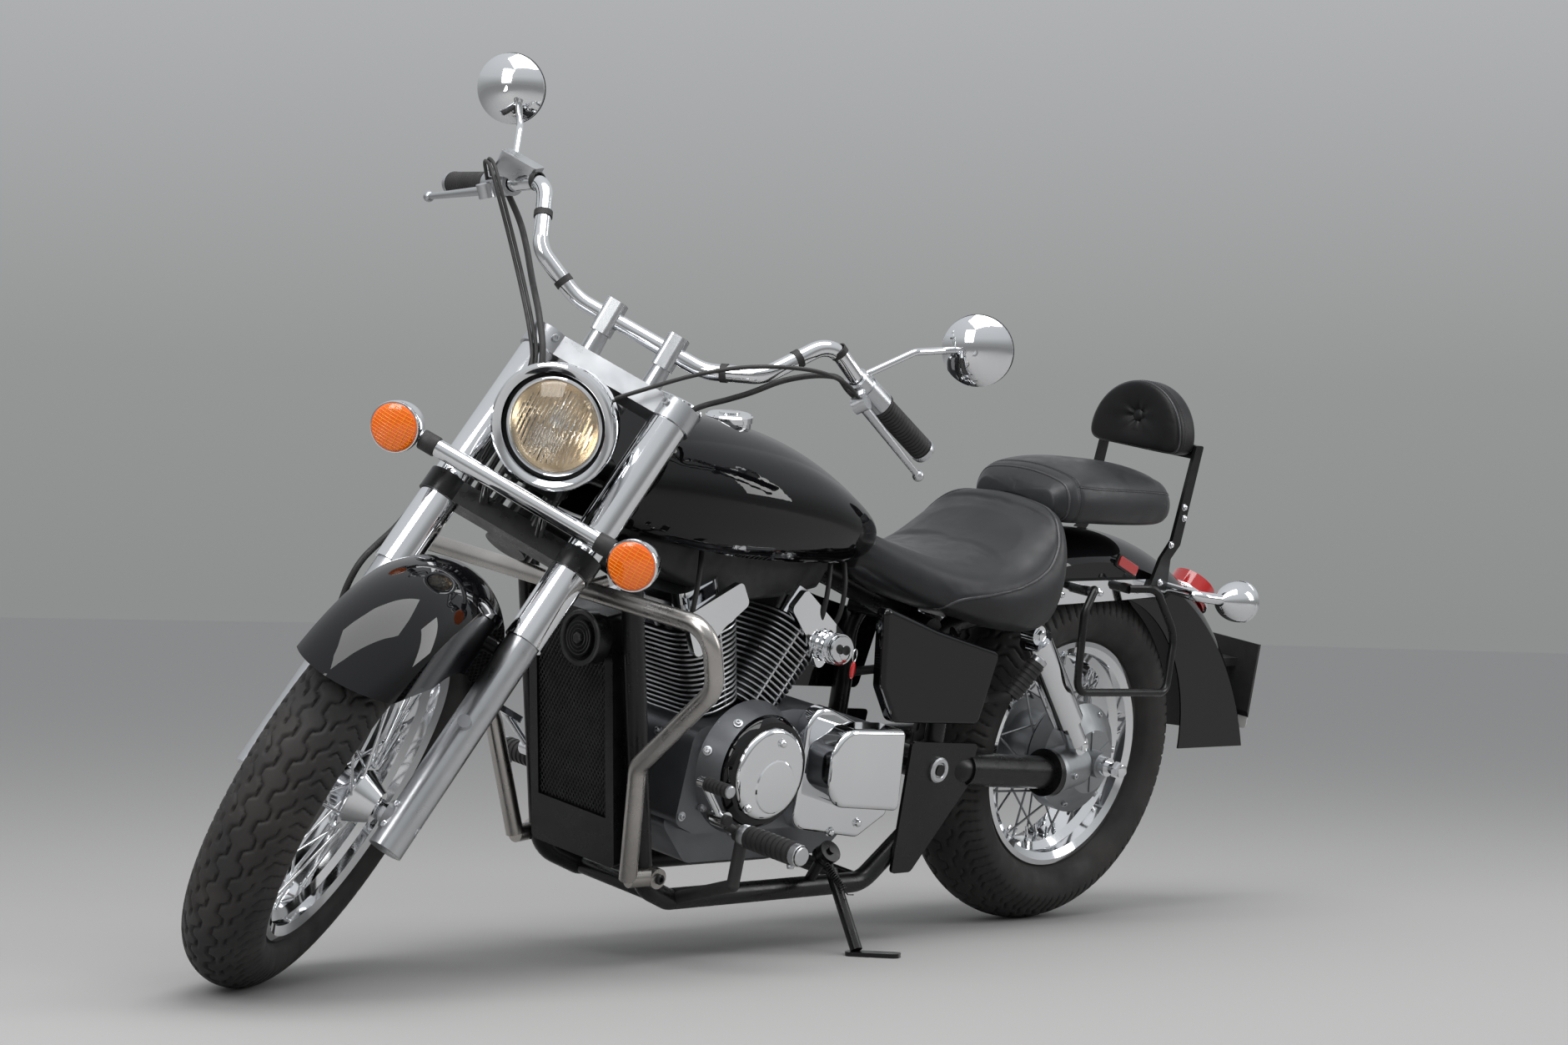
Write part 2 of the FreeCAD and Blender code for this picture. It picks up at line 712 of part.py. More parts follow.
def signal_head(centre, out, face):
    """A bullet lamp: domed chrome back, round lens and the stalk behind it."""
    square = face.cross(out).normalize()
    back, belly, rim_at = centre - face * SIGNAL_DEEP, centre - face * SIGNAL_DEEP * 0.62, centre
    edges = [
        Part.LineSegment(centre, centre - face * SIGNAL_DEEP).toShape(),
        Part.LineSegment(back, back + square * 9).toShape(),
        Part.Arc(back + square * 9, belly + square * SIGNAL_R * 0.80, rim_at + square * SIGNAL_R).toShape(),
        Part.LineSegment(rim_at + square * SIGNAL_R, centre).toShape(),
    ]
    return Part.Face(Part.Wire(edges)).revolve(centre, face, 360)


def front_signals():
    made = []
    centre = off_fork(SIGNAL_UP, SIGNAL_AHEAD, SIGNAL_Y) + V(16, 0, 0)
    shell = signal_head(centre, V(0, 1, 0), V(1, 0, 0))
    end = off_fork(SIGNAL_UP, SIGNAL_AHEAD, SIGNAL_Y)
    stalk = rod(end - V(0, 52 - RUNNING_GAP, 0), end, 12)
    made.append(fused([shell, stalk]))
    return both_sides(made[0])


def front_signal_lenses():
    centre = off_fork(SIGNAL_UP, SIGNAL_AHEAD, SIGNAL_Y) + V(16 + RUNNING_GAP, 0, 0)
    return both_sides(rod(centre, centre + V(12, 0, 0), SIGNAL_R - 1.5, SIGNAL_R - 5))


def arc_shell(centre, radius, half, drop, start, end, thickness, crown):
    """A fender blank: a crowned strip with side walls, swept round a point in the side view."""
    outer = [
        (radius - drop, -half), (radius - crown, -half),
        ("arc", (radius, 0.0), (radius - crown, half)), (radius - drop, half),
        (radius - drop, half - thickness), (radius - crown - thickness, half - thickness),
        ("arc", (radius - thickness, 0.0), (radius - crown - thickness, -half + thickness)),
        (radius - drop, -half + thickness),
    ]
    edges = []
    first = at = V(centre.x, outer[0][1], centre.z + outer[0][0])
    for step in outer[1:] + [outer[0]]:
        if step[0] == "arc":
            through = V(centre.x, step[1][1], centre.z + step[1][0])
            to = V(centre.x, step[2][1], centre.z + step[2][0])
            edges.append(Part.Arc(at, through, to).toShape())
        else:
            to = V(centre.x, step[1], centre.z + step[0])
            edges.append(Part.LineSegment(at, to).toShape())
        at = to
    face = Part.Face(Part.Wire(edges))
    face.rotate(centre, V(0, 1, 0), 90 - start)
    return face.revolve(centre, V(0, 1, 0), start - end)


def front_fender():
    c = front_axle()
    shell = arc_shell(c, FRONT_FENDER_R, FRONT_FENDER_HALF, FRONT_SKIRT, FRONT_FENDER_FROM, FRONT_FENDER_TO,
                      SHEET_T, 38)
    below = side_plate([
        (1960, 200, 0), (1960, 570, 0), (1536, 525, 70), (1396, 436, 30), (1290, 430, 0), (1290, 200, 0),
    ], -120, 120)
    shell = shell.cut(below)
    stays = []
    for side in (1, -1):
        at = on_fork(286, side * (FRONT_FENDER_HALF + 3))
        stays.append(rod(V(at.x, side * (FRONT_FENDER_HALF - 1.5), at.z), V(at.x, side * (FORK_Y - SLIDER_R - 0.3), at.z), 13))
    return fused([shell] + stays)


def brake_caliper():
    """Caliper behind the right leg, with its slot round the disc."""
    at = on_fork(72, DISC_Y) + fork_forward() * -104
    body = Part.makeBox(72, 46, 92, V(-36, -23, -46))
    body = body.makeFillet(9, body.Edges)
    body.rotate(V(0, 0, 0), V(0, 1, 0), -RAKE)
    body.translate(V(at.x, DISC_Y - 4, at.z))
    slot = ring(front_axle() + V(0, DISC_Y, 0), V(0, 1, 0), DISC_R + 6, DISC_BORE_R, DISC_T + 11)
    lug = rod(V(at.x, DISC_Y - 20, at.z), V(on_fork(72).x, -FORK_Y + 4, on_fork(72).z), 9)
    leg = rod(on_fork(-20, -FORK_Y), on_fork(160, -FORK_Y), SLIDER_R + 0.3)
    return fused([body.cut(slot), lug.cut(slot)]).cut(leg)


# Chassis

def frame():
    """Double cradle: head tube, backbone, two down tubes that run under the engine, and pivot plates."""
    head = rod(on_head(HEAD_TUBE_LOW), on_head(HEAD_TUBE_HIGH), HEAD_TUBE_R)
    backbone_front = on_head(600)
    backbone = pipe([backbone_front, V(1020, 0, 742), V(640, 0, 632), V(430, 0, 560)], BACKBONE_R, 120)
    gusset = pipe([on_head(505), V(1130, 0, 668), V(900, 0, 700)], 14, 60)
    parts = [head, backbone, gusset]
    for side in (1, -1):
        y_top, y_low = side * CRADLE_Y, side * CRADLE_LOW_Y
        start = on_head(500, side * 14)
        cradle = pipe([
            start, V(1206, y_top, 640), V(1084, y_top, 158), V(1010, y_low, CRADLE_BOTTOM_Z),
            V(560, y_low, CRADLE_BOTTOM_Z), V(PIVOT_X, side * PIVOT_Y, 236),
            V(PIVOT_X, side * PIVOT_Y, 420), V(470, side * 96, 560), V(232, side * 96, 600),
        ], TUBE_R, [34, 60, 28, 60, 60, 50, 60])
        tail = rod(V(470, side * 96, 560), V(430, 0, 560), 14)
        plate = side_plate([
            (516, 372, 8), (344, 364, 8), (352, 292, 20), (468, 146, 14), (516, 146, 8),
        ], side * (PIVOT_Y + TUBE_R - 4), side * (PIVOT_Y + TUBE_R + 2))
        plate_web = rod(V(PIVOT_X, side * (PIVOT_Y - 10), PIVOT_Z), V(PIVOT_X, side * (PIVOT_Y + TUBE_R), PIVOT_Z), 30)
        parts += [cradle, tail, plate, plate_web]
    cross_tubes = [V(1010, 0, CRADLE_BOTTOM_Z), V(560, 0, CRADLE_BOTTOM_Z)]
    for at in cross_tubes:
        parts.append(rod(at - V(0, CRADLE_LOW_Y, 0), at + V(0, CRADLE_LOW_Y, 0), 13))
    made = fused(parts)
    made = made.cut(rod(on_head(HEAD_TUBE_LOW - 20), on_head(HEAD_TUBE_HIGH + 20), STEM_R + 0.05))
    swing_pin = rod(V(PIVOT_X, -200, PIVOT_Z), V(PIVOT_X, 200, PIVOT_Z), 10.3)
    return made.cut(swing_pin)


def swingarm():
    """Two arms on a cross pivot: the left one is the fat tube round the drive shaft."""
    pin = rod(V(PIVOT_X, -PIVOT_Y - 26, PIVOT_Z), V(PIVOT_X, PIVOT_Y + 26, PIVOT_Z), 10)
    cross = rod(V(PIVOT_X, -88, PIVOT_Z), V(PIVOT_X, 88, PIVOT_Z), 26)
    left = pipe([V(432, 58, 322), V(376, ARM_Y, 318), V(118, ARM_Y, 302)], 25, 30)
    tube = rod(V(356, ARM_Y, 316.8), V(118, ARM_Y, 302), 29)
    flange = rod(V(132, ARM_Y, 302.9), V(118, ARM_Y, 302), 42)
    right = pipe([V(432, -58, 322), V(376, -ARM_Y, 318), V(20, -ARM_Y, REAR_RADIUS)], 20, 30)
    eye = rod(V(0, -ARM_Y - 16, REAR_RADIUS), V(0, -ARM_Y + 16, REAR_RADIUS), 26)
    lug = rod(V(74, -134, 352), V(74, -ARM_Y, 330), 13)
    left = fused([left, tube])
    made = fused([pin, cross, left, flange, right, eye, lug])
    return made.cut(rod(rear_axle() - V(0, 200, 0), rear_axle() + V(0, 200, 0), REAR_AXLE_R + AXLE_CLEARANCE))


def final_drive():
    """Bevel gear housing on the left of the rear wheel, with cooling ribs and the axle boss."""
    c, y = rear_axle(), V(0, 1, 0)
    base = c + y * (REAR_FLANGE_Y + 14)
    drum = rod(base, base + y * 34, 100)
    cone = rod(base + y * 34, base + y * 66, 100, 58)
    boss = rod(base + y * 66, base + y * 92, 24)
    nose = rod(V(117.7, ARM_Y, 302), V(30, 100, 312), 40)
    neck = rod(V(117.7, ARM_Y, 302), V(108, ARM_Y, 302.5), 42)
    ribs = []
    for i in range(6):
        a = math.radians(60 * i + 20)
        rib = Part.makeBox(70, 34, 5, V(24, base.y + 34, -2.5))
        rib.rotate(V(0, 0, 0), y, -math.degrees(a))
        rib.translate(V(c.x, 0, c.z))
        ribs.append(rib)
    hull = rod(base + y * 30, base + y * 68, 100, 60)
    ribs = [r.common(rod(base + y * 33, base + y * 72, 98, 50)) for r in ribs]
    made = fused([drum, cone, boss, nose, neck] + ribs)
    return made.cut(rod(c - y * 200, c + y * 200, REAR_AXLE_R + AXLE_CLEARANCE))


def rear_axle_rod():
    c, y = rear_axle(), V(0, 1, 0)
    shaft = Part.makeCylinder(REAR_AXLE_R, 326, c - y * 146, y)
    nut = Part.makeCylinder(17, 14, c + y * (REAR_FLANGE_Y + 14 + 92.3), y)
    tail = Part.makeCylinder(17, 12, c - y * 134.4, y)
    return fused([shaft, nut, tail])


def shocks():
    """Rear dampers: a chrome cover over the top half and a rod and eye below."""
    top, low = V(246, 132, 556), V(70, 132, 356)
    way = (low - top).normalize()
    cover = rod(top + way * 14, top + way * 205, 29)
    body = rod(top + way * 205, low - way * 8, 20)
    eye_top = rod(top - V(0, 14, 0), top + V(0, 14, 0), 17)
    eye_low = rod(low - V(0, 12, 0), low + V(0, 12, 0), 17)
    made = fused([cover, body, eye_top, eye_low])
    return both_sides(made)


def crankcase():
    """Upper case, and the narrower sump that hangs between the frame's lower tubes."""
    upper = side_plate([
        (1010, 400, 30), (1024, 250, 20), (980, 232, 10), (610, 232, 10), (560, 262, 20), (560, 392, 30),
        (700, 424, 20), (800, 428, 10),
    ], -CASE_HALF, CASE_HALF)
    sump = side_plate([
        (1010, 300, 10), (1020, 240, 20), (960, 176, 30), (640, 176, 30), (570, 240, 30), (570, 300, 10),
    ], -SUMP_HALF, SUMP_HALF)
    return fused([upper, sump])


def engine_block():
    """Crankcase with the left generator cover and the right clutch cover."""
    case = crankcase()
    y = V(0, 1, 0)
    c = V(CRANK_X, 0, CRANK_Z)
    left = rod(c + y * CASE_HALF, c + y * (CASE_HALF + 40), 108, 88)
    right = rod(c - y * CASE_HALF, c - y * (CASE_HALF + 34), 112, 96)
    clutch = V(740, -CASE_HALF, 318)
    right_back = rod(clutch, clutch - y * 52, 92, 78)
    return fused([case, left, right, right_back])


def cylinder_frame(tilt, distance):
    """A point that far up a cylinder's centre line from the crank."""
    a = math.radians(tilt)
    return V(CRANK_X + distance * math.sin(a), 0, CRANK_Z + distance * math.cos(a))


def rounded_slab(length, width, height, corner):
    slab = Part.makeBox(length, width, height, V(-length / 2, -width / 2, 0))
    upright = [e for e in slab.Edges if abs(e.tangentAt(e.FirstParameter).z) > 0.9]
    return slab.makeFillet(corner, upright)


def cylinder(tilt):
    """A finned barrel: a core with a stack of rounded plates."""
    reach = FIN_COUNT * FIN_PITCH
    core = rounded_slab(FIN_FORE_AFT - 34, FIN_ACROSS - 46, reach, FIN_CORNER_R - 14)
    stack = [core]
    for i in range(FIN_COUNT):
        share = i / (FIN_COUNT - 1)
        fin = rounded_slab(FIN_FORE_AFT - 26 * (1 - share), FIN_ACROSS - 22 * (1 - share), FIN_T, FIN_CORNER_R)
        fin.translate(V(0, 0, i * FIN_PITCH + (FIN_PITCH - FIN_T) / 2))
        stack.append(fin)
    made = fused(stack)
    made.rotate(V(0, 0, 0), V(0, 1, 0), tilt)
    made.translate(cylinder_frame(tilt, BARREL_FROM))
    return made


def cylinders():
    case = crankcase()
    front = cylinder(FRONT_TILT).cut(case)
    rear = cylinder(REAR_TILT).cut(case).cut(front)
    return Part.makeCompound([biggest(front), biggest(rear)])


def head_cover(tilt):
    """Chrome head cover with a ridge, and the bright shields that hang over the upper fins on each side."""
    outer = 1 if tilt > 0 else -1
    base = cylinder_frame(tilt, BARREL_FROM + FIN_COUNT * FIN_PITCH + RUNNING_GAP)
    low = rounded_slab(FIN_FORE_AFT - 8, FIN_ACROSS - 6, HEAD_COVER_TALL * 0.5, 40)
    high = rounded_slab(FIN_FORE_AFT - 40, FIN_ACROSS - 46, HEAD_COVER_TALL * 0.5, 24)
    high.translate(V(0, 0, HEAD_COVER_TALL * 0.5))
    made = [low, high]
    for side in (1, -1):
        shield = side_plate([
            (outer * 66, 34, 6), (-outer * 60, 44, 10), (-outer * 68, 2, 10), (-outer * 10, -14, 30),
            (outer * 58, -46, 12),
        ], side * (FIN_ACROSS / 2 - 6), side * (FIN_ACROSS / 2 + 6))
        made.append(shield)
    made = fused(made)
    made.rotate(V(0, 0, 0), V(0, 1, 0), tilt)
    made.translate(base)
    return made


def head_covers():
    return Part.makeCompound([head_cover(FRONT_TILT), head_cover(REAR_TILT)])


def left_engine_covers():
    """Chrome generator cap and the squarer chrome cover behind it."""
    y = V(0, 1, 0)
    c = V(CRANK_X, CASE_HALF + 40 + RUNNING_GAP, CRANK_Z + 2)
    cap = rod(c, c + y * 22, TIMING_R + 4)
    cap = fillet_facing(cap, y, 9)
    plate = side_plate([
        (782, 452, 40), (640, 400, 12), (560, 396, 6), (556, 250, 10), (620, 214, 20), (780, 236, 30),
    ], CASE_HALF + RUNNING_GAP, CASE_HALF + 26)
    box = side_plate([
        (776, 414, 48), (606, 408, 10), (594, 272, 10), (770, 286, 48),
    ], CASE_HALF + 26, CASE_HALF + 84)
    box = fillet_facing(box, y, 9)
    plate = fillet_facing(plate, y, 7)
    return Part.makeCompound([cap, fused([plate, box]).cut(rod(V(CRANK_X, 90, CRANK_Z), V(CRANK_X, 180, CRANK_Z), 112))])


def air_cleaner():
    """Chrome air box on the right, between the cylinders."""
    a = side_plate([(1000, 560, 60), (1000, 440, 50), (770, 440, 50), (770, 560, 60)], -FIN_ACROSS / 2 - 8, -FIN_ACROSS / 2 - 62)
    return a


def radiator():
    """Core and its frame, leaning with the down tubes."""
    top, low = V(RADIATOR_TOP_X, 0, RADIATOR_TOP_Z), V(RADIATOR_LOW_X, 0, RADIATOR_LOW_Z)
    tall = (top - low).Length
    lean = math.degrees(math.atan2(top.x - low.x, top.z - low.z))
    body = Part.makeBox(RADIATOR_T, 2 * RADIATOR_HALF, tall, V(-RADIATOR_T / 2, -RADIATOR_HALF, 0))
    body = body.makeFillet(10, [e for e in body.Edges if abs(e.tangentAt(e.FirstParameter).x) > 0.9])
    recess = Part.makeBox(10, 2 * RADIATOR_HALF - 36, tall - 110, V(RADIATOR_T / 2 - 8, -RADIATOR_HALF + 18, 78))
    body = body.cut(recess)
    body.rotate(V(0, 0, 0), V(0, 1, 0), lean)
    body.translate(low)
    lugs = [rod(low + (top - low) * up - V(0, CRADLE_Y, 0), low + (top - low) * up + V(0, CRADLE_Y, 0), 8)
            for up in RADIATOR_LUGS]
    return fused([body] + lugs)


# The fork's legs swing this far behind the steering axis at full lock
TANK_TO_HEAD = 72.0

# Columns: x, underside z, top z, half width
TANK_SECTIONS = [
    (1240, 720, 838, 96),
    (1168, 700, 868, 130),
    (1050, 680, 878, 152),
    (900, 668, 862, 150),
    (760, 664, 820, 130),
    (660, 668, 770, 96),
    (604, 684, 736, 54),
]


def fuel_tank():
    """Teardrop tank with a tunnel for the backbone."""
    body = lofted([body_section(x, low, high, half, 0.74, 0.66, 0.16) for x, low, high, half in TANK_SECTIONS])
    tunnel = Part.makeBox(760, 84, 150, V(560, -42, 620))
    room = Part.makeBox(300, 400, 600, V(-TANK_TO_HEAD, -200, -300))
    room.rotate(V(0, 0, 0), V(0, 1, 0), -RAKE)
    room.translate(on_head(600))
    return body.cut(tunnel).cut(room)


# Columns: x, underside z, top z, half width
SEAT_SECTIONS = [
    (640, 640, 716, 58),
    (560, 606, 694, 112),
    (450, 580, 676, 156),
    (350, 560, 690, 178),
    (262, 556, 744, 180),
    (222, 590, 778, 162),
    (194, 640, 778, 120),
]


def rider_seat():
    return lofted([body_section(x, low, high, half, 0.86, 0.80, 0.10) for x, low, high, half in SEAT_SECTIONS])


# Columns: x, underside z, top z, half width
PILLION_SECTIONS = [
    (200, 750, 806, 88),
    (160, 742, 832, 112),
    (90, 742, 846, 122),
    (0, 742, 846, 122),
    (-100, 744, 840, 110),
    (-148, 752, 820, 88),
]


def pillion_seat():
    return lofted([body_section(x, low, high, half, 0.90, 0.84, 0.14) for x, low, high, half in PILLION_SECTIONS])


def side_covers():
    """Panels under the seat, one a side."""
    left = side_plate([
        (662, 606, 12), (520, 566, 30), (346, 528, 16), (376, 402, 14), (596, 410, 24), (640, 470, 20),
    ], 131.0, 152)
    left = fillet_facing(left, V(0, 1, 0), 9)
    pins = [rod(V(PIVOT_X, PIVOT_Y, 450), V(PIVOT_X, 134, 450), 8), rod(V(440, 98, 565), V(440, 134, 536), 8)]
    return both_sides(fused([left] + pins))


def fender_centre():
    """Centre of the rear fender's curve in the side view."""
    return V(REAR_FENDER_X, 0, REAR_FENDER_TOP - REAR_FENDER_R)


def behind_fender(z):
    """The x of the fender's back at that height."""
    c = fender_centre()
    return c.x - math.sqrt(REAR_FENDER_R ** 2 - (z - c.z) ** 2)


def rear_fender():
    c = fender_centre()
    shell = arc_shell(c, REAR_FENDER_R, REAR_FENDER_HALF, 330, REAR_FENDER_FROM, REAR_FENDER_TO, SHEET_T, 48)
    arch = rod(rear_axle() - V(0, 200, 0), rear_axle() + V(0, 200, 0), REAR_ARCH_R)
    below = Part.makeBox(900, 400, 400, V(-700, -200, REAR_FENDER_LOW_Z - 400))
    front_low = Part.makeBox(400, 400, 400, V(-60, -200, 200))
    return shell.cut(arch).cut(below).cut(front_low)


def fender_rails():
    """Chrome struts along the fender's sides, with the pads that the back rest bolts to."""
    rail = side_plate([
        (250, 640, 8), (-150, 652, 8), (-168, 636, 6), (-150, 620, 8), (-40, 612, 12), (250, 596, 8),
    ], REAR_FENDER_HALF + RUNNING_GAP, REAR_FENDER_HALF + 12)
    return both_sides(rail)


def exhaust():
    """Two chrome pipes on the right that meet in one long muffler."""
    front = pipe([V(1040, -60, 560), V(1110, -96, 500), V(1076, -150, 260), V(960, -178, 236), V(520, -178, 240)],
                 22, [40, 90, 60, 200])
    rear = pipe([V(700, -96, 560), V(640, -150, 470), V(600, -178, 300), V(480, -178, 262)], 22, [50, 80, 80])
    head, tail = V(440, -180, 258), V(-180, -190, 290)
    along = (tail - head).normalize()
    joint = rod(head - along * 100, head + along * 2, 40)
    muffler = rod(head, tail, 40, 52)
    tip = rod(tail, tail + along * 120, 52, 46)
    bore = rod(tail + along * 50, tail + along * 125, 38)
    return fused([front, rear, joint, muffler, tip]).cut(bore)


def guard_points():
    """Left half of the crash bar, from the middle of the cross tube to its lower foot."""
    return [
        V(GUARD_X, 0, GUARD_Z),
        V(GUARD_X, GUARD_OUT_Y + 16, GUARD_Z),
        V(1226, GUARD_OUT_Y + 8, 520),
        V(1182, 168, 362),
        V(1130, 132, 176),
    ]


def crash_bars():
    left = guard_points()
    right = [V(p.x, -p.y, p.z) for p in left[:0:-1]]
    hoop = pipe(right + left[1:], GUARD_R, [40, 60, 40, 40, 60, 40])
    feet = []
    for side in (1, -1):
        foot = V(1130, side * 132, 176)
        feet.append(rod(foot, V(1084, side * (CRADLE_Y + TUBE_R + 4), 178), GUARD_R))
        feet.append(rod(V(1084, side * (CRADLE_Y + TUBE_R + 0.3), 178), V(1084, side * (CRADLE_Y + TUBE_R + 16), 178), 16))
    tabs = [rod(V(GUARD_X, s * 70, GUARD_Z), V(1228, s * 92, 628), 9) for s in (1, -1)]
    cut = frame_down_tubes()
    return fused([hoop] + feet + tabs).cut(cut)


def frame_down_tubes():
    """The down tubes with a little room round them, for pieces that bolt against them."""
    tubes = []
    for side in (1, -1):
        tubes.append(pipe([on_head(500, side * 14), V(1206, side * CRADLE_Y, 640), V(1084, side * CRADLE_Y, 158)],
                          TUBE_R + 0.3, 34))
    return Part.makeCompound(tubes)


def pannier_rails():
    """Hoops of black tube that hold a bag off the wheel, one a side."""
    points = [
        V(96, 122, 630), V(120, 152, 640), V(150, 160, 600), V(158, 178, 462), V(-104, 178, 458),
        V(-126, 160, 560), V(-60, 152, 642), V(-20, 122, 636),
    ]
    hoop = pipe(points, 7, [10, 24, 22, 22, 50, 24])
    low = rod(V(96, 122, 630), V(96, REAR_FENDER_HALF + 12.3, 630), 9)
    back = rod(V(-20, 122, 636), V(-20, REAR_FENDER_HALF + 12.3, 636), 9)
    return both_sides(fused([hoop, low, back]))


def sissy_bar():
    """Flat uprights from the fender rails, joined behind the pad."""
    y0 = REAR_FENDER_HALF + 12.3
    upright = side_plate([
        (-150, 632, 4), (-96, 632, 4), (-116, 690, 4), (-142, 724, 4), (PAD_BACK_X + 24, 900, 4),
        (PAD_BACK_X + 2, 900, 4), (-168, 716, 4), (-146, 690, 4),
    ], y0, y0 + 7)
    cross = Part.makeBox(12, 2 * (y0 + 3), 26, V(PAD_BACK_X + 4, -(y0 + 3), 874))
    return fused([upright, mirrored(upright), cross])


def back_rest():
    """Half-round pad on the front of the uprights."""
    pad = Part.makeCylinder(BACK_REST_R, 56, V(PAD_BACK_X + 18, 0, 896), V(1, 0, 0))
    pad = fillet_facing(pad, V(1, 0, 0), 16)
    below = Part.makeBox(200, 300, 120, V(PAD_BACK_X - 30, -150, 756))
    pad = pad.cut(below)
    clear = Part.makeBox(18, 240, 90, V(PAD_BACK_X, -120, 852))
    return pad.cut(clear)


def tail_lamp():
    """Round-backed lamp on the fender's crown."""
    a = math.radians(128)
    out = V(math.cos(a), 0, math.sin(a))
    c = fender_centre() + out * REAR_FENDER_R
    made = Part.makeCylinder(44, 46, c - out * 2, out)
    blank = fender_blank()
    return made.cut(blank)


def fender_blank():
    return Part.makeCylinder(REAR_FENDER_R + 0.3, 400, fender_centre() - V(0, 200, 0), V(0, 1, 0))


def rear_signals():
    """Bullet lamps that face back, on short stalks from the fender rails."""
    centre = V(-278, 186, 628)
    shell = signal_head(centre, V(0, 1, 0), V(-1, 0, 0))
    start = V(-158, REAR_FENDER_HALF + 12.3, 636)
    stalk = pipe([start, V(-160, 176, 634), V(-236, 186, 630)], 10, 20)
    return both_sides(fused([shell, stalk]))


def rear_signal_lenses():
    centre = V(-278 - RUNNING_GAP, 186, 628)
    return both_sides(rod(centre, centre - V(12, 0, 0), SIGNAL_R - 1.5, SIGNAL_R - 5))


def plate_bracket():
    """Bracket and blank plate behind the fender."""
    face = behind_fender(PLATE_TOP - PLATE_TALL / 2) - 28
    bracket = Part.makeBox(6, PLATE_WIDE, PLATE_TALL, V(face - 6, -PLATE_WIDE / 2, PLATE_TOP - PLATE_TALL))
    arm = Part.makeBox(110, 60, 16, V(face - 2, -30, PLATE_TOP - 52))
    blank = fender_blank()
    return fused([bracket, arm]).cut(blank)


def rider_pegs():
    """Forward pegs on brackets from the cradle."""
    elbow = V(994, 222, 182)
    return both_sides(fused([
        rod(V(990, 232, 262), V(990, 348, 262), 16),
        rod(V(990, 210, 262), V(990, 234, 262), 13),
        rod(elbow, V(990, 222, 262), 10),
        Part.makeSphere(10.5, elbow),
        rod(V(1000, CRADLE_LOW_Y, CRADLE_BOTTOM_Z), elbow, 10),
        rod(V(990, 214, 262), FOOT_PIVOT - V(0, 26, 0), 7),
        rod(FOOT_PIVOT - V(0, 26, 0), FOOT_PIVOT + V(0, 17, 0), FOOT_PIN_R),
        rod(FOOT_PIVOT + V(0, 12.5, 0), FOOT_PIVOT + V(0, 17, 0), FOOT_PIN_R + 4),
    ]))


def foot_controls():
    """Gear lever on the left and brake pedal on the right, each on the pin of its peg's bracket."""
    y = V(0, 1, 0)
    boss = ring(FOOT_PIVOT, y, 13, FOOT_PIN_R + RUNNING_GAP, 24)
    along = (TOE_AT - FOOT_PIVOT).normalize()
    arm = rod(FOOT_PIVOT + along * 9, TOE_AT, 6)
    toe = rod(TOE_AT - y * 8, TOE_AT + y * TOE_LENGTH, TOE_R)
    pad = Part.makeBox(66, TOE_LENGTH, 10, TOE_AT - V(33, 16, 5))
    pad = pad.makeFillet(8, [e for e in pad.Edges if abs(e.tangentAt(e.FirstParameter).z) > 0.9])
    pad.rotate(TOE_AT, y, -24)
    return Part.makeCompound([fused([boss, arm, toe]), mirrored(fused([boss, arm, pad]))])


def horn():
    """Round horn on the radiator's upper left corner."""
    at = V(RADIATOR_TOP_X + RADIATOR_T / 2 - 6, HORN_Y, RADIATOR_TOP_Z - 44)
    body = rod(at, at + V(26, 0, 0), HORN_R)
    front = rod(at + V(26, 0, 0), at + V(32, 0, 0), HORN_R - 12)
    return fused([body, front]).cut(radiator())


def ignition_switch():
    """Lock barrel on a boss of the rear head cover, beside the left side cover."""
    at = V(700, 44, 518)
    out = V(0.24, 0.95, 0.12).normalize()
    barrel = rod(at, at + out * 74, 24)
    collar = rod(at + out * 74, at + out * 86, 20)
    return fused([barrel, collar])


def speedometer():
    """Chrome instrument bowl on the tank's crown, with the filler cap behind it."""
    way = V(-0.34, 0, 0.94).normalize()
    at = V(1084, 0, 850)
    bowl = rod(at, at + way * 36, 46, 56)
    lip = rod(at + way * 36, at + way * 44, 56)
    cap_at = V(930, 0, 850)
    up = V(0.12, 0, 1).normalize()
    cap = rod(cap_at, cap_at + up * 32, 36)
    return Part.makeCompound([fillet_facing(fused([bowl, lip]), way, 4), fillet_facing(cap, up, 5)])


def pillion_pegs():
    """Ribbed pegs, folded up against the frame."""
    base, top = V(300, 150, 452), V(262, 168, 520)
    peg = rod(base, top, 14)
    bracket = rod(V(322, 117, 440), base, 10)
    carrier = rod(V(PIVOT_X, PIVOT_Y, 434), V(322, 117, 440), 8)
    return both_sides(fused([peg, bracket, Part.makeSphere(10.5, V(322, 117, 440)), carrier]))


def side_stand():
    """Leg, foot pad and pivot eye."""
    floor = ground_height(STAND_FOOT_X, STAND_FOOT_Y)
    foot = stand_foot()
    down = (foot - STAND_PIVOT).normalize()
    eye_axis = stand_axis()
    eye = ring(STAND_PIVOT, eye_axis, 18, 6.05, 14)
    neck = rod(STAND_PIVOT + down * 12, STAND_PIVOT + down * 36, 6.5)
    leg = rod(STAND_PIVOT + down * 28, foot, STAND_LEG_R)
    slope = ground_up()
    pad = Part.makeBox(88, 36, STAND_PAD_T, V(-16, -18, 0))
    pad = pad.makeFillet(12, [e for e in pad.Edges if abs(e.tangentAt(e.FirstParameter).z) > 0.9])
    turn = FreeCAD.Rotation(V(0, 0, 1), slope).multiply(FreeCAD.Rotation(V(0, 0, 1), STAND_PAD_WAY))
    pad.Placement = FreeCAD.Placement(V(STAND_FOOT_X, STAND_FOOT_Y, floor), turn).multiply(pad.Placement)
    return fused([eye, neck, leg, pad])


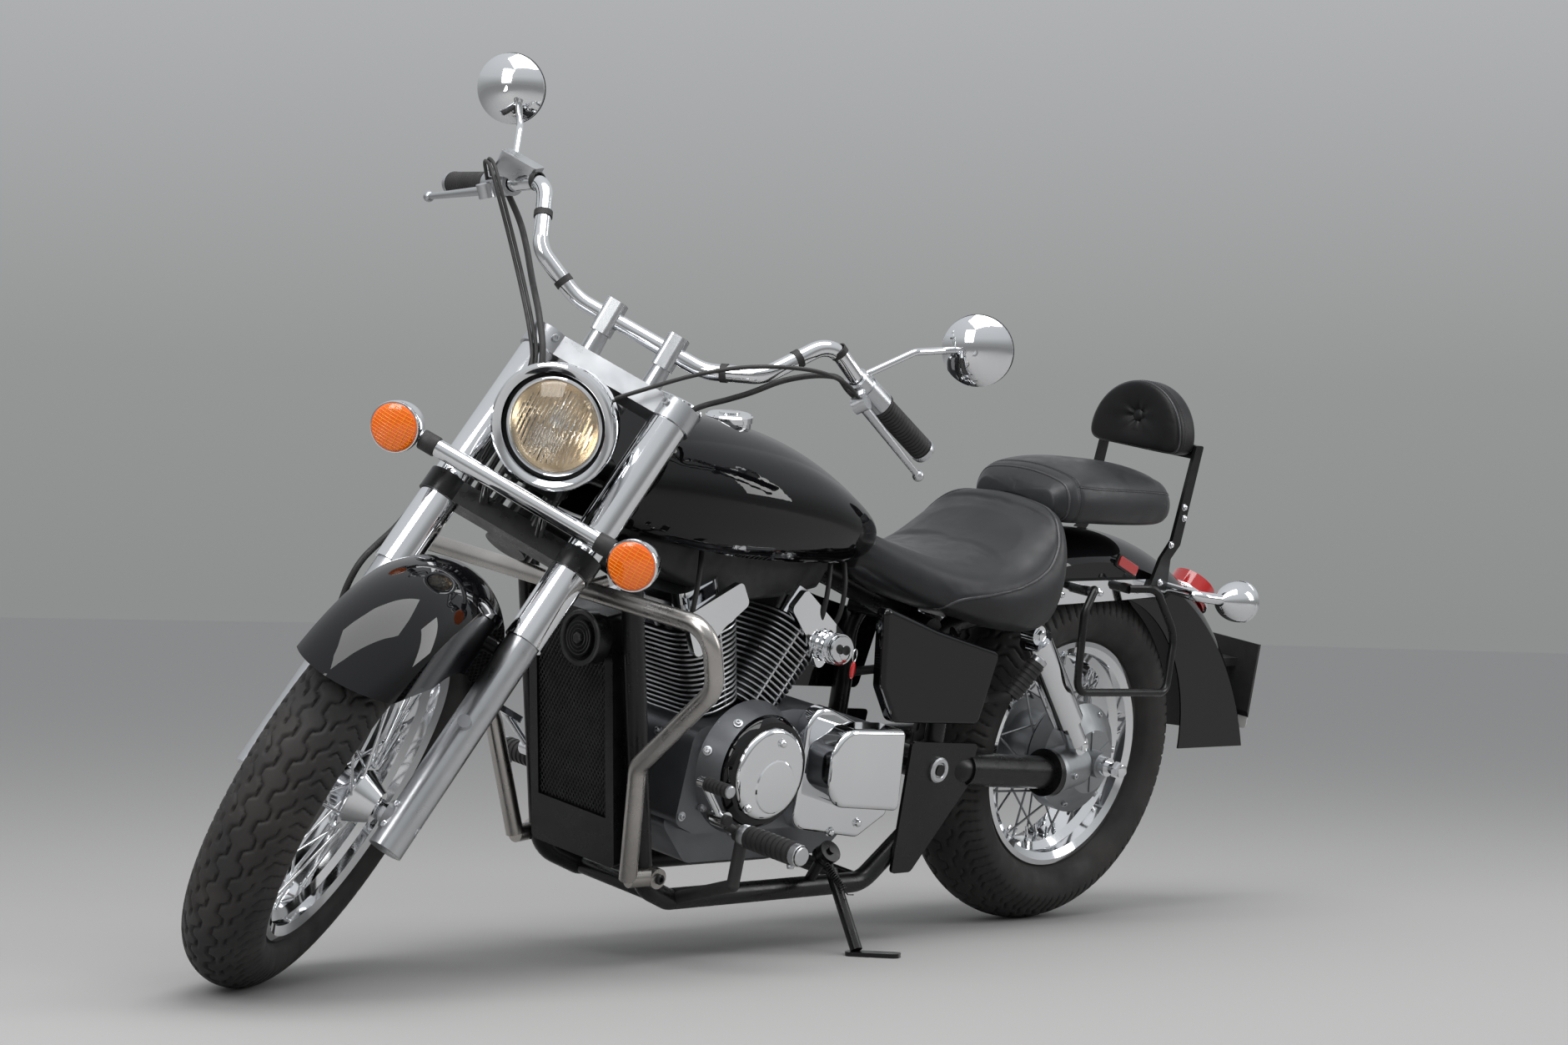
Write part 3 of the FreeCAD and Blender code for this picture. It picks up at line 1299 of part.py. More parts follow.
def stand_bracket():
    """Clevis plates on the left cradle tube and the pivot bolt."""
    axis = stand_axis()
    plates = [
        rod(STAND_PIVOT + axis * 7.3, STAND_PIVOT + axis * 13, 19),
        rod(STAND_PIVOT - axis * 13, STAND_PIVOT - axis * 7.3, 19),
        rod(STAND_PIVOT - axis * 14, STAND_PIVOT + axis * 18, 6),
    ]
    arm_low = rod(STAND_PIVOT - axis * 10, V(STAND_PIVOT.x, CRADLE_LOW_Y, CRADLE_BOTTOM_Z + 6), 9)
    arm = fused(plates + [arm_low])
    tube = rod(V(1010, CRADLE_LOW_Y, CRADLE_BOTTOM_Z), V(560, CRADLE_LOW_Y, CRADLE_BOTTOM_Z), TUBE_R + 0.3)
    eye_room = rod(STAND_PIVOT - axis * 7.25, STAND_PIVOT + axis * 7.25, 26)
    eye_room = fused([eye_room, ring(STAND_PIVOT, axis, 60, 22, 34)])
    bolt = rod(STAND_PIVOT - axis * 14, STAND_PIVOT + axis * 18, 6)
    return fused([arm.cut(tube).cut(eye_room), bolt])


def stand_foot():
    """Where the leg's centre line ends, just above the ground."""
    return V(STAND_FOOT_X, STAND_FOOT_Y, ground_height(STAND_FOOT_X, STAND_FOOT_Y) + 9)


def stand_axis():
    """Pivot axis: it carries the leg from down and out to straight back along the frame."""
    down = (stand_foot() - STAND_PIVOT).normalize()
    folded = V(-1, 0.13, -0.02).normalize()
    return down.cross(folded).normalize()


# Parking: steer, lean and pitch

def steering_turn():
    return FreeCAD.Placement(V(0, 0, 0), FreeCAD.Rotation(steering_axis(), STEER_LOCK), steering_ground_point())


def lowest_of_tyre(centre, axle_way, radius, crown_r):
    return centre.z - (radius - crown_r) * math.sqrt(1 - axle_way.z ** 2) - crown_r


def parked_placement():
    """Lean to the stand, then pitch until both tyres stand on z = 0."""
    lean = FreeCAD.Rotation(V(1, 0, 0), -LEAN)
    turn = steering_turn()
    front = turn.multVec(front_axle())
    front_way = turn.Rotation.multVec(V(0, 1, 0))
    pitch = 0.0
    for _ in range(8):
        spin = lean.multiply(FreeCAD.Rotation(V(0, 1, 0), math.degrees(pitch)))
        low_rear = lowest_of_tyre(spin.multVec(rear_axle()), spin.multVec(V(0, 1, 0)), REAR_RADIUS, REAR_CROWN_R)
        low_front = lowest_of_tyre(spin.multVec(front), spin.multVec(front_way), FRONT_RADIUS, FRONT_CROWN_R)
        pitch += (low_front - low_rear) / WHEELBASE
    return FreeCAD.Placement(V(0, 0, -low_rear), spin)


def ground_up():
    """The true vertical, seen from the upright drawing."""
    return parked_placement().Rotation.inverted().multVec(V(0, 0, 1))


def ground_height(x, y):
    """Height of the ground in the upright drawing, at that x and y."""
    up = ground_up()
    on_ground = parked_placement().inverse().multVec(V(0, 0, 0))
    return on_ground.z - ((x - on_ground.x) * up.x + (y - on_ground.y) * up.y) / up.z


CHASSIS = {
    "frame": frame,
    "swingarm": swingarm,
    "final_drive": final_drive,
    "rear_axle": rear_axle_rod,
    "shock_absorbers": shocks,
    "engine_block": engine_block,
    "cylinders": cylinders,
    "head_covers": head_covers,
    "left_engine_covers": left_engine_covers,
    "air_cleaner": air_cleaner,
    "radiator": radiator,
    "fuel_tank": fuel_tank,
    "rider_seat": rider_seat,
    "pillion_seat": pillion_seat,
    "side_covers": side_covers,
    "rear_fender": rear_fender,
    "fender_rails": fender_rails,
    "exhaust": exhaust,
    "crash_bars": crash_bars,
    "pannier_rails": pannier_rails,
    "sissy_bar": sissy_bar,
    "back_rest": back_rest,
    "tail_lamp": tail_lamp,
    "rear_signals": rear_signals,
    "rear_signal_lenses": rear_signal_lenses,
    "plate_bracket": plate_bracket,
    "rider_pegs": rider_pegs,
    "foot_controls": foot_controls,
    "pillion_pegs": pillion_pegs,
    "stand_bracket": stand_bracket,
    "horn": horn,
    "ignition_switch": ignition_switch,
    "speedometer": speedometer,
}
FRONT_END = {
    "fork_sliders": fork_sliders,
    "fork_covers": fork_covers,
    "top_bridge": top_bridge,
    "lower_bridge": lower_bridge,
    "front_axle": front_axle_rod,
    "risers": risers,
    "handlebar": handlebar,
    "grips": grips,
    "controls": controls,
    "control_cables": control_cables,
    "mirrors": mirrors,
    "headlamp": headlamp,
    "headlamp_lens": headlamp_lens,
    "light_bar": light_bar,
    "front_signals": front_signals,
    "front_signal_lenses": front_signal_lenses,
    "front_fender": front_fender,
    "brake_caliper": brake_caliper,
}
FRONT_WHEEL = {
    "front_tyre": lambda: tyre(front_axle(), FRONT_RADIUS, FRONT_TYRE_WIDTH, FRONT_CROWN_R, FRONT_RIM_R, FRONT_RIM_WIDTH),
    "front_rim": lambda: rim(front_axle(), FRONT_RIM_R, FRONT_RIM_WIDTH),
    "front_hub": front_hub,
    "front_disc": front_disc,
}
REAR_WHEEL = {
    "rear_tyre": lambda: tyre(rear_axle(), REAR_RADIUS, REAR_TYRE_WIDTH, REAR_CROWN_R, REAR_RIM_R, REAR_RIM_WIDTH),
    "rear_rim": lambda: rim(rear_axle(), REAR_RIM_R, REAR_RIM_WIDTH),
    "rear_hub": rear_hub,
}
STAND = {"side_stand": side_stand}
BODIES = {
    "chassis": CHASSIS,
    "front_end": FRONT_END,
    "front_wheel": FRONT_WHEEL,
    "rear_wheel": REAR_WHEEL,
    "stand": STAND,
}
STEERED = ("front_end", "front_wheel")


# Pieces that are cut to seat on, or clamp round, others of their own body
FITTED = {
    "fuel_tank": ("frame",),
    "swingarm": ("frame", "final_drive", "rear_axle"),
    "rider_seat": ("frame", "fender_rails", "shock_absorbers", "fuel_tank", "rear_fender"),
    "pillion_seat": ("rider_seat", "rear_fender"),
    "back_rest": ("pillion_seat", "sissy_bar"),
    "fender_rails": ("frame",),
    "radiator": ("frame",),
    "lower_bridge": ("headlamp",),
    "side_covers": ("frame",),
    "pillion_pegs": ("frame", "side_covers"),
    "shock_absorbers": ("swingarm", "final_drive", "fender_rails"),
    "air_cleaner": ("engine_block", "cylinders", "head_covers"),
    "exhaust": ("engine_block", "cylinders", "head_covers", "side_covers", "air_cleaner", "shock_absorbers"),
    "rider_pegs": ("frame", "exhaust", "engine_block"),
    "stand_bracket": ("engine_block",),
    "rear_signals": ("sissy_bar", "fender_rails"),
    "cylinders": ("head_covers",),
    "ignition_switch": ("frame", "engine_block", "cylinders", "head_covers"),
    "speedometer": ("fuel_tank",),
    "fork_sliders": ("front_axle",),
    "risers": ("top_bridge", "handlebar"),
    "controls": ("handlebar",),
    "control_cables": ("controls", "lower_bridge", "top_bridge", "brake_caliper"),
    "mirrors": ("handlebar", "controls"),
    "front_rim": ("front_hub",),
    "rear_rim": ("rear_hub",),
}


def seated(made):
    """Trim the fitted pieces, and keep only the parts of each that are more than crumbs."""
    for name, others in FITTED.items():
        trimmed = made[name]
        for other in others:
            trimmed = trimmed.cut(made[other])
        most = max(solid.Volume for solid in trimmed.Solids)
        made[name] = Part.makeCompound([s for s in trimmed.Solids if s.Volume > most * 0.2])
    return made


def placement_of(body):
    """Where a body of the upright drawing stands when the machine is parked, before centring."""
    if body in STEERED:
        return parked_placement().multiply(steering_turn())
    return parked_placement()


def build():
    """All nodes in the parked pose, with the origin on the floor under the middle of the whole."""
    made = seated({name: maker() for nodes in BODIES.values() for name, maker in nodes.items()})
    for body, nodes in BODIES.items():
        place = placement_of(body)
        for name in nodes:
            made[name].Placement = place.multiply(made[name].Placement)
    points = [p for shape in made.values() for p in shape.tessellate(0.5)[0]]
    xs, ys = [p.x for p in points], [p.y for p in points]
    shift = V(-(min(xs) + max(xs)) / 2, -(min(ys) + max(ys)) / 2, 0)
    for shape in made.values():
        shape.translate(shift)
    return made, shift


def main():
    made, _ = build()
    os.makedirs("parts", exist_ok=True)
    for name, shape in made.items():
        shape.exportStep(os.path.join("parts", name + ".step"))


if __name__ == "__main__":
    main()
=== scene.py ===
import bpy
import bmesh
import json
from math import asin, atan2, cos, hypot, pi, radians, sin, sqrt
from mathutils import Matrix, Vector
from mathutils.bvhtree import BVHTree
from mathutils.kdtree import KDTree

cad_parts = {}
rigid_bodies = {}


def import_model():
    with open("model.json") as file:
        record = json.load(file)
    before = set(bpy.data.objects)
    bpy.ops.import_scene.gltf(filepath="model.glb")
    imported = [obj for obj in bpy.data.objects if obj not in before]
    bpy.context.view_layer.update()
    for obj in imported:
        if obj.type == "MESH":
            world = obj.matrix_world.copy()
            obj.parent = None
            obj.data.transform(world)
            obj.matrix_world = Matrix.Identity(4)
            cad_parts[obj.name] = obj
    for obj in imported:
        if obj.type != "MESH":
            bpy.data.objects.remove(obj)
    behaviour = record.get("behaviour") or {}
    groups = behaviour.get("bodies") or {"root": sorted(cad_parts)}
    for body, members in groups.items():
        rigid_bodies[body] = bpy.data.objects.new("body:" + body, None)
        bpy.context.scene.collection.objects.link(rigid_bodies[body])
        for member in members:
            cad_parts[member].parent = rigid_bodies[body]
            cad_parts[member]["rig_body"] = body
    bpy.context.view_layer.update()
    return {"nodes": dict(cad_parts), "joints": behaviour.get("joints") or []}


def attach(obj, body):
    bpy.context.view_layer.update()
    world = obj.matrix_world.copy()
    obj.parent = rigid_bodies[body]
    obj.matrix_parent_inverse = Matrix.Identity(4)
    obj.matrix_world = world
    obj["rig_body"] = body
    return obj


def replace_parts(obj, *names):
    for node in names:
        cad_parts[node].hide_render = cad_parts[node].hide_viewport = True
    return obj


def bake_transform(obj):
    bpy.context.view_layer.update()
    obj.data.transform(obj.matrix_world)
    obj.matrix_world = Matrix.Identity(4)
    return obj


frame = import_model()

# Where the motorcycle stands
# The maker's drawing has the machine upright, in millimetres: x ahead of the rear axle, y to the
# left and z up from the ground. Here it leans on its stand with the bars on the left stop, and
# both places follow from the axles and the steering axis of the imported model.
MM = 0.001
RAKE = radians(34.0)
WHEELBASE = 1640.0
FRONT_RADIUS = 324.0
REAR_RADIUS = 318.0


def joint_named(name):
    return next(j for j in frame["joints"] if j["name"] == name)


def drawn_from(steering_way, axle_way, drawn_point, real_point):
    """The matrix from drawing millimetres to metres, for a body with that steering axis and axle."""
    left = Vector(axle_way).normalized()
    up_fork = Vector(steering_way).normalized()
    ahead_of_fork = left.cross(up_fork).normalized()
    ahead = ahead_of_fork * cos(RAKE) - up_fork * sin(RAKE)
    up = ahead_of_fork * sin(RAKE) + up_fork * cos(RAKE)
    turn = Matrix((ahead, left, up)).transposed()
    start = Vector(real_point) - turn @ (Vector(drawn_point) * MM)
    return Matrix.Translation(start) @ turn.to_4x4() @ Matrix.Scale(MM, 4)


def fork_point(up, ahead=0.0, y=0.0):
    """A drawing point that far up the fork legs from the axle, and that far ahead of them."""
    return Vector((
        WHEELBASE - up * sin(RAKE) + ahead * cos(RAKE), y,
        FRONT_RADIUS + up * cos(RAKE) + ahead * sin(RAKE),
    ))


steering = joint_named("steering")
front_spin = joint_named("front_wheel_spin")
rear_spin = joint_named("rear_wheel_spin")
AXLE_F = Vector((WHEELBASE, 0, FRONT_RADIUS))
AXLE_R = Vector((0, 0, REAR_RADIUS))
CHASSIS = drawn_from(steering["axis"], rear_spin["axis"], AXLE_R, rear_spin["pos_m"])
STEERED = drawn_from(steering["axis"], front_spin["axis"], AXLE_F, front_spin["pos_m"])
PLACES = {
    "chassis": CHASSIS, "rear_wheel": CHASSIS, "stand_leg": CHASSIS,
    "steering": STEERED, "front_wheel": STEERED,
}


def in_scene(name, data):
    thing = bpy.data.objects.new(name, data)
    bpy.context.scene.collection.objects.link(thing)
    return thing


def mesh_from(made, name):
    mesh = bpy.data.meshes.new(name)
    made.to_mesh(mesh)
    made.free()
    return mesh


def placed(mesh_maker, name, body, material, smooth_below=40.0):
    """A piece drawn in millimetres by filling a bmesh, set on its body with its place in its mesh."""
    made = bmesh.new()
    mesh_maker(made)
    return placed_bmesh(made, name, body, material, smooth_below)


def placed_bmesh(made, name, body, material, smooth_below=40.0):
    """The same for a bmesh that is already filled."""
    bmesh.ops.transform(made, matrix=PLACES[body], verts=made.verts)
    mesh = mesh_from(made, name)
    mesh.materials.append(material)
    piece = in_scene(name, mesh)
    soften(mesh, smooth_below)
    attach(piece, body)
    return piece


def soften(mesh, below):
    """Smooth shading, with sharp edges where faces meet at more than that angle."""
    mesh.shade_smooth()
    mesh.set_sharp_from_angle(angle=radians(below))


# The studio
# A pale floor under a soft sky. The camera stands where the photographer stood, ahead of the
# machine's left side and about as high as its cylinders, with the photograph's own lens.
CAMERA_AT = (3.5716, 3.2800, 0.5454)
CAMERA_WAY = radians(-136.8)
CAMERA_PITCH = radians(1.75)
CAMERA_ROLL = radians(1.3)
LENS_MM = 67.85
SENSOR_MM = 36.0
FLOOR_HALF = 60.0
FLOOR_COLOUR = (0.35, 0.345, 0.34, 1)
SKY_STRENGTH = 0.75
SKY_BANDS = (
    (0.0, (0.36, 0.37, 0.37, 1)), (0.08, (0.40, 0.41, 0.41, 1)),
    (0.34, (0.76, 0.78, 0.80, 1)), (1.0, (0.95, 0.97, 1.0, 1)),
)


def make_camera():
    ahead = Vector((
        cos(CAMERA_PITCH) * cos(CAMERA_WAY), cos(CAMERA_PITCH) * sin(CAMERA_WAY), sin(CAMERA_PITCH),
    ))
    right = ahead.cross(Vector((0, 0, 1))).normalized()
    up = right.cross(ahead)
    rolled_right = right * cos(CAMERA_ROLL) + up * sin(CAMERA_ROLL)
    rolled_up = up * cos(CAMERA_ROLL) - right * sin(CAMERA_ROLL)
    turn = Matrix((rolled_right, rolled_up, -ahead)).transposed().to_4x4()
    camera = in_scene("camera", bpy.data.cameras.new("camera"))
    camera.matrix_world = Matrix.Translation(CAMERA_AT) @ turn
    camera.data.lens = LENS_MM
    camera.data.sensor_width = SENSOR_MM
    camera.data.clip_start = 0.1
    bpy.context.scene.camera = camera


def make_floor():
    made = bmesh.new()
    bmesh.ops.create_grid(made, x_segments=1, y_segments=1, size=FLOOR_HALF)
    mesh = mesh_from(made, "floor")
    floor = in_scene("floor", mesh)
    paint = bpy.data.materials.new("studio_floor")
    paint.use_nodes = True
    surface = paint.node_tree.nodes["Principled BSDF"]
    surface.inputs["Base Color"].default_value = FLOOR_COLOUR
    surface.inputs["Roughness"].default_value = 0.9
    mesh.materials.append(paint)


def make_sky():
    world = bpy.data.worlds.new("sky")
    world.use_nodes = True
    nodes, links = world.node_tree.nodes, world.node_tree.links
    where = nodes.new("ShaderNodeTexCoord")
    parts = nodes.new("ShaderNodeSeparateXYZ")
    ramp = nodes.new("ShaderNodeValToRGB")
    bands = ramp.color_ramp.elements
    while len(bands) < len(SKY_BANDS):
        bands.new(0.5)
    for band, (at, colour) in zip(bands, SKY_BANDS):
        band.position = at
        band.color = colour
    links.new(where.outputs["Generated"], parts.inputs[0])
    links.new(parts.outputs["Z"], ramp.inputs[0])
    links.new(ramp.outputs[0], nodes["Background"].inputs["Color"])
    nodes["Background"].inputs["Strength"].default_value = SKY_STRENGTH
    bpy.context.scene.world = world


def soft_lamp(name, at, towards, size, watts):
    light = bpy.data.lights.new(name, "AREA")
    light.shape = "RECTANGLE"
    light.size, light.size_y = size
    light.energy = watts
    lamp = in_scene(name, light)
    lamp.location = at
    lamp.rotation_euler = (Vector(towards) - Vector(at)).to_track_quat("-Z", "Y").to_euler()


make_camera()
make_floor()
make_sky()
soft_lamp("overhead", (0.6, 1.2, 4.2), (0, 0, 0.5), (4.0, 2.4), 130)
soft_lamp("front_left", (3.6, 0.6, 2.6), (0.2, 0, 0.6), (1.6, 2.2), 55)
soft_lamp("rear_left", (-3.2, 3.0, 2.2), (-0.4, 0, 0.6), (1.2, 2.4), 45)
bpy.context.scene.view_settings.view_transform = "Standard"


# Finishes that several pieces share
# Chrome, gloss paint, satin castings and powder coat. Each has a little noise in its roughness and
# a fine bump at its own scale, from a group of nodes that they all use.
def grain_group():
    """Noise at one scale: a mask from 0 to 1, and a height for a bump."""
    group = bpy.data.node_groups.new("fine_grain", "ShaderNodeTree")
    face = group.interface
    face.new_socket("Scale", in_out="INPUT", socket_type="NodeSocketFloat").default_value = 60.0
    face.new_socket("Detail", in_out="INPUT", socket_type="NodeSocketFloat").default_value = 4.0
    face.new_socket("Low", in_out="INPUT", socket_type="NodeSocketFloat").default_value = 0.3
    face.new_socket("High", in_out="INPUT", socket_type="NodeSocketFloat").default_value = 0.7
    face.new_socket("Mask", in_out="OUTPUT", socket_type="NodeSocketFloat")
    face.new_socket("Height", in_out="OUTPUT", socket_type="NodeSocketFloat")
    nodes, links = group.nodes, group.links
    inside, outside = nodes.new("NodeGroupInput"), nodes.new("NodeGroupOutput")
    where = nodes.new("ShaderNodeTexCoord")
    noise = nodes.new("ShaderNodeTexNoise")
    spread = nodes.new("ShaderNodeMapRange")
    links.new(where.outputs["Object"], noise.inputs["Vector"])
    links.new(inside.outputs["Scale"], noise.inputs["Scale"])
    links.new(inside.outputs["Detail"], noise.inputs["Detail"])
    links.new(noise.outputs["Fac"], spread.inputs["Value"])
    links.new(inside.outputs["Low"], spread.inputs["From Min"])
    links.new(inside.outputs["High"], spread.inputs["From Max"])
    links.new(spread.outputs["Result"], outside.inputs["Mask"])
    links.new(noise.outputs["Fac"], outside.inputs["Height"])
    return group


FINE_GRAIN = grain_group()


def finish(name, colour, other_colour=None, metal=0.0, rough=(0.3, 0.4), coat=0.0, coat_rough=0.03,
           scale=60.0, bump=0.0, bump_scale=None, specular=0.5, colour_scale=None, sheen=0.0):
    """A surface whose colour and roughness wander between two values over noise, with a fine bump."""
    material = bpy.data.materials.new(name)
    material.use_nodes = True
    nodes, links = material.node_tree.nodes, material.node_tree.links
    surface = nodes["Principled BSDF"]
    surface.inputs["Metallic"].default_value = metal
    surface.inputs["Coat Weight"].default_value = coat
    surface.inputs["Coat Roughness"].default_value = coat_rough
    surface.inputs["Specular IOR Level"].default_value = specular
    surface.inputs["Sheen Weight"].default_value = sheen
    wander = nodes.new("ShaderNodeGroup")
    wander.node_tree = FINE_GRAIN
    wander.inputs["Scale"].default_value = scale
    roughness = nodes.new("ShaderNodeMapRange")
    roughness.inputs["To Min"].default_value = rough[0]
    roughness.inputs["To Max"].default_value = rough[1]
    links.new(wander.outputs["Mask"], roughness.inputs["Value"])
    links.new(roughness.outputs["Result"], surface.inputs["Roughness"])
    tint = nodes.new("ShaderNodeMix")
    tint.data_type = "RGBA"
    tint.inputs["A"].default_value = (*colour, 1)
    tint.inputs["B"].default_value = (*(other_colour or colour), 1)
    cloud = nodes.new("ShaderNodeGroup")
    cloud.node_tree = FINE_GRAIN
    cloud.inputs["Scale"].default_value = colour_scale or scale * 0.3
    links.new(cloud.outputs["Mask"], tint.inputs["Factor"])
    links.new(tint.outputs["Result"], surface.inputs["Base Color"])
    if bump:
        grain = nodes.new("ShaderNodeGroup")
        grain.node_tree = FINE_GRAIN
        grain.inputs["Scale"].default_value = bump_scale or scale
        relief = nodes.new("ShaderNodeBump")
        relief.inputs["Strength"].default_value = bump
        relief.inputs["Distance"].default_value = 0.0005
        links.new(grain.outputs["Height"], relief.inputs["Height"])
        links.new(relief.outputs["Normal"], surface.inputs["Normal"])
    return material


CHROME = finish("chrome_plate", (0.82, 0.83, 0.84), (0.76, 0.77, 0.79), metal=1.0,
                rough=(0.03, 0.09), scale=14.0)
GLOSS_BLACK = finish("gloss_black_paint", (0.002, 0.002, 0.0025), (0.004, 0.004, 0.005),
                     rough=(0.30, 0.36), coat=0.8, coat_rough=0.02, scale=9.0, specular=0.0)
SATIN_BLACK = finish("satin_black_paint", (0.004, 0.004, 0.0045), (0.008, 0.008, 0.008),
                     rough=(0.22, 0.38), scale=40.0, bump=0.08, bump_scale=700.0, specular=0.36)
SATIN_ALUMINIUM = finish("satin_aluminium", (0.58, 0.59, 0.60), (0.50, 0.51, 0.53), metal=1.0,
                         rough=(0.26, 0.38), scale=30.0, bump=0.03, bump_scale=900.0)
CAST_ALUMINIUM = finish("cast_aluminium", (0.34, 0.35, 0.36), (0.27, 0.28, 0.29), metal=1.0,
                        rough=(0.36, 0.52), scale=50.0, bump=0.25, bump_scale=1100.0)
CRANK_GREY = finish("crankcase_grey", (0.17, 0.175, 0.185), (0.13, 0.135, 0.145), metal=0.75,
                    rough=(0.34, 0.46), scale=30.0, bump=0.15, bump_scale=1100.0)
FIN_GREY = finish("fin_grey", (0.050, 0.051, 0.054), (0.085, 0.086, 0.088), metal=0.6,
                  rough=(0.35, 0.5), scale=60.0)
BRUSHED_STEEL = finish("brushed_steel", (0.50, 0.48, 0.46), (0.36, 0.34, 0.32), metal=1.0,
                       rough=(0.22, 0.36), scale=26.0, bump=0.015, bump_scale=300.0)
BLACK_PLASTIC = finish("black_plastic", (0.012, 0.012, 0.012), (0.022, 0.022, 0.022), rough=(0.42, 0.58),
                       scale=70.0, bump=0.2, bump_scale=1500.0)
BLACK_RUBBER = finish("black_rubber", (0.013, 0.013, 0.013), (0.024, 0.023, 0.022), rough=(0.5, 0.68),
                      scale=60.0, bump=0.15, bump_scale=900.0)
AMBER = finish("amber_lens", (0.86, 0.11, 0.0), (0.92, 0.16, 0.002), rough=(0.08, 0.14),
               coat=1.0, scale=30.0)
RED_LENS = finish("red_lens", (0.42, 0.006, 0.006), (0.55, 0.01, 0.01), rough=(0.08, 0.14),
                  coat=1.0, scale=30.0)

KEPT = {
    CHROME: [
        "front_rim", "rear_rim", "front_hub", "fork_covers", "handlebar", "mirrors", "headlamp", "light_bar",
        "front_signals", "rear_signals", "head_covers", "left_engine_covers", "air_cleaner", "exhaust",
        "fender_rails", "shock_absorbers", "foot_controls", "front_axle", "rear_axle", "speedometer",
        "ignition_switch",
    ],
    SATIN_ALUMINIUM: ["fork_sliders", "top_bridge", "risers", "controls"],
    CAST_ALUMINIUM: ["final_drive", "rear_hub", "front_disc"],
    CRANK_GREY: ["engine_block"],
    FIN_GREY: ["cylinders"],
    BRUSHED_STEEL: ["crash_bars"],
    SATIN_BLACK: [
        "frame", "swingarm", "radiator", "pannier_rails", "sissy_bar", "stand_bracket", "side_stand",
        "lower_bridge", "brake_caliper", "horn",
    ],
    GLOSS_BLACK: ["fuel_tank", "side_covers", "rear_fender", "front_fender"],
    BLACK_PLASTIC: ["plate_bracket", "rider_seat", "pillion_seat", "back_rest"],
    BLACK_RUBBER: ["control_cables", "grips", "rider_pegs", "pillion_pegs", "front_tyre", "rear_tyre"],
    AMBER: ["front_signal_lenses", "rear_signal_lenses"],
    RED_LENS: ["tail_lamp"],
}
for material, names in KEPT.items():
    for name in names:
        if name in frame["nodes"]:
            mesh = frame["nodes"][name].data
            mesh.materials.clear()
            mesh.materials.append(material)


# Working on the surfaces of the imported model
# Bolts, seams and trim sit on the metal that carries them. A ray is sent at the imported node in
# drawing millimetres, and the place and the outward way of the surface come back.
SURFACES = {}


def surface_of(node):
    if node not in SURFACES:
        thing = frame["nodes"].get(node) or bpy.data.objects[node]
        made = bmesh.new()
        made.from_mesh(thing.data)
        SURFACES[node] = (BVHTree.FromBMesh(made), thing["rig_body"])
        made.free()
    return SURFACES[node]


def struck(node, start, way):
    """Where a ray meets that piece, and the surface's outward way there, in drawing millimetres."""
    tree, body = surface_of(node)
    place = PLACES[body]
    turn = place.to_3x3().normalized()
    spot, normal, _, _ = tree.ray_cast(place @ Vector(start), (turn @ Vector(way)).normalized())
    if spot is None:
        raise ValueError(f"nothing of {node} lies that way from {tuple(start)}")
    back = place.inverted()
    return back @ spot, (turn.inverted() @ normal).normalized()


def nearest_on(node, point):
    """The nearest point of that piece, and its outward way, in drawing millimetres."""
    tree, body = surface_of(node)
    place = PLACES[body]
    spot, normal, _, _ = tree.find_nearest(place @ Vector(point))
    return place.inverted() @ spot, (place.to_3x3().normalized().inverted() @ normal).normalized()


def node_tree(name, sockets):
    group = bpy.data.node_groups.new(name, "GeometryNodeTree")
    group.interface.new_socket("Geometry", in_out="INPUT", socket_type="NodeSocketGeometry")
    for label, kind in sockets:
        group.interface.new_socket(label, in_out="INPUT", socket_type=kind)
    group.interface.new_socket("Geometry", in_out="OUTPUT", socket_type="NodeSocketGeometry")
    return group, group.nodes.new("NodeGroupInput"), group.nodes.new("NodeGroupOutput")


def wire_tree():
    """Edges become round wires with closed ends."""
    group, inside, outside = node_tree("round_wire", (
        ("Radius", "NodeSocketFloat"), ("Sides", "NodeSocketInt"), ("Material", "NodeSocketMaterial"),
    ))
    nodes, links = group.nodes, group.links
    path = nodes.new("GeometryNodeMeshToCurve")
    ring = nodes.new("GeometryNodeCurvePrimitiveCircle")
    tube = nodes.new("GeometryNodeCurveToMesh")
    tube.inputs["Fill Caps"].default_value = True
    real = nodes.new("GeometryNodeRealizeInstances")
    coat = nodes.new("GeometryNodeSetMaterial")
    links.new(inside.outputs["Geometry"], path.inputs["Mesh"])
    links.new(inside.outputs["Sides"], ring.inputs["Resolution"])
    links.new(inside.outputs["Radius"], ring.inputs["Radius"])
    links.new(path.outputs["Curve"], tube.inputs["Curve"])
    links.new(ring.outputs["Curve"], tube.inputs["Profile Curve"])
    links.new(tube.outputs["Mesh"], real.inputs["Geometry"])
    links.new(real.outputs["Geometry"], coat.inputs["Geometry"])
    links.new(inside.outputs["Material"], coat.inputs["Material"])
    links.new(coat.outputs["Geometry"], outside.inputs["Geometry"])
    return group


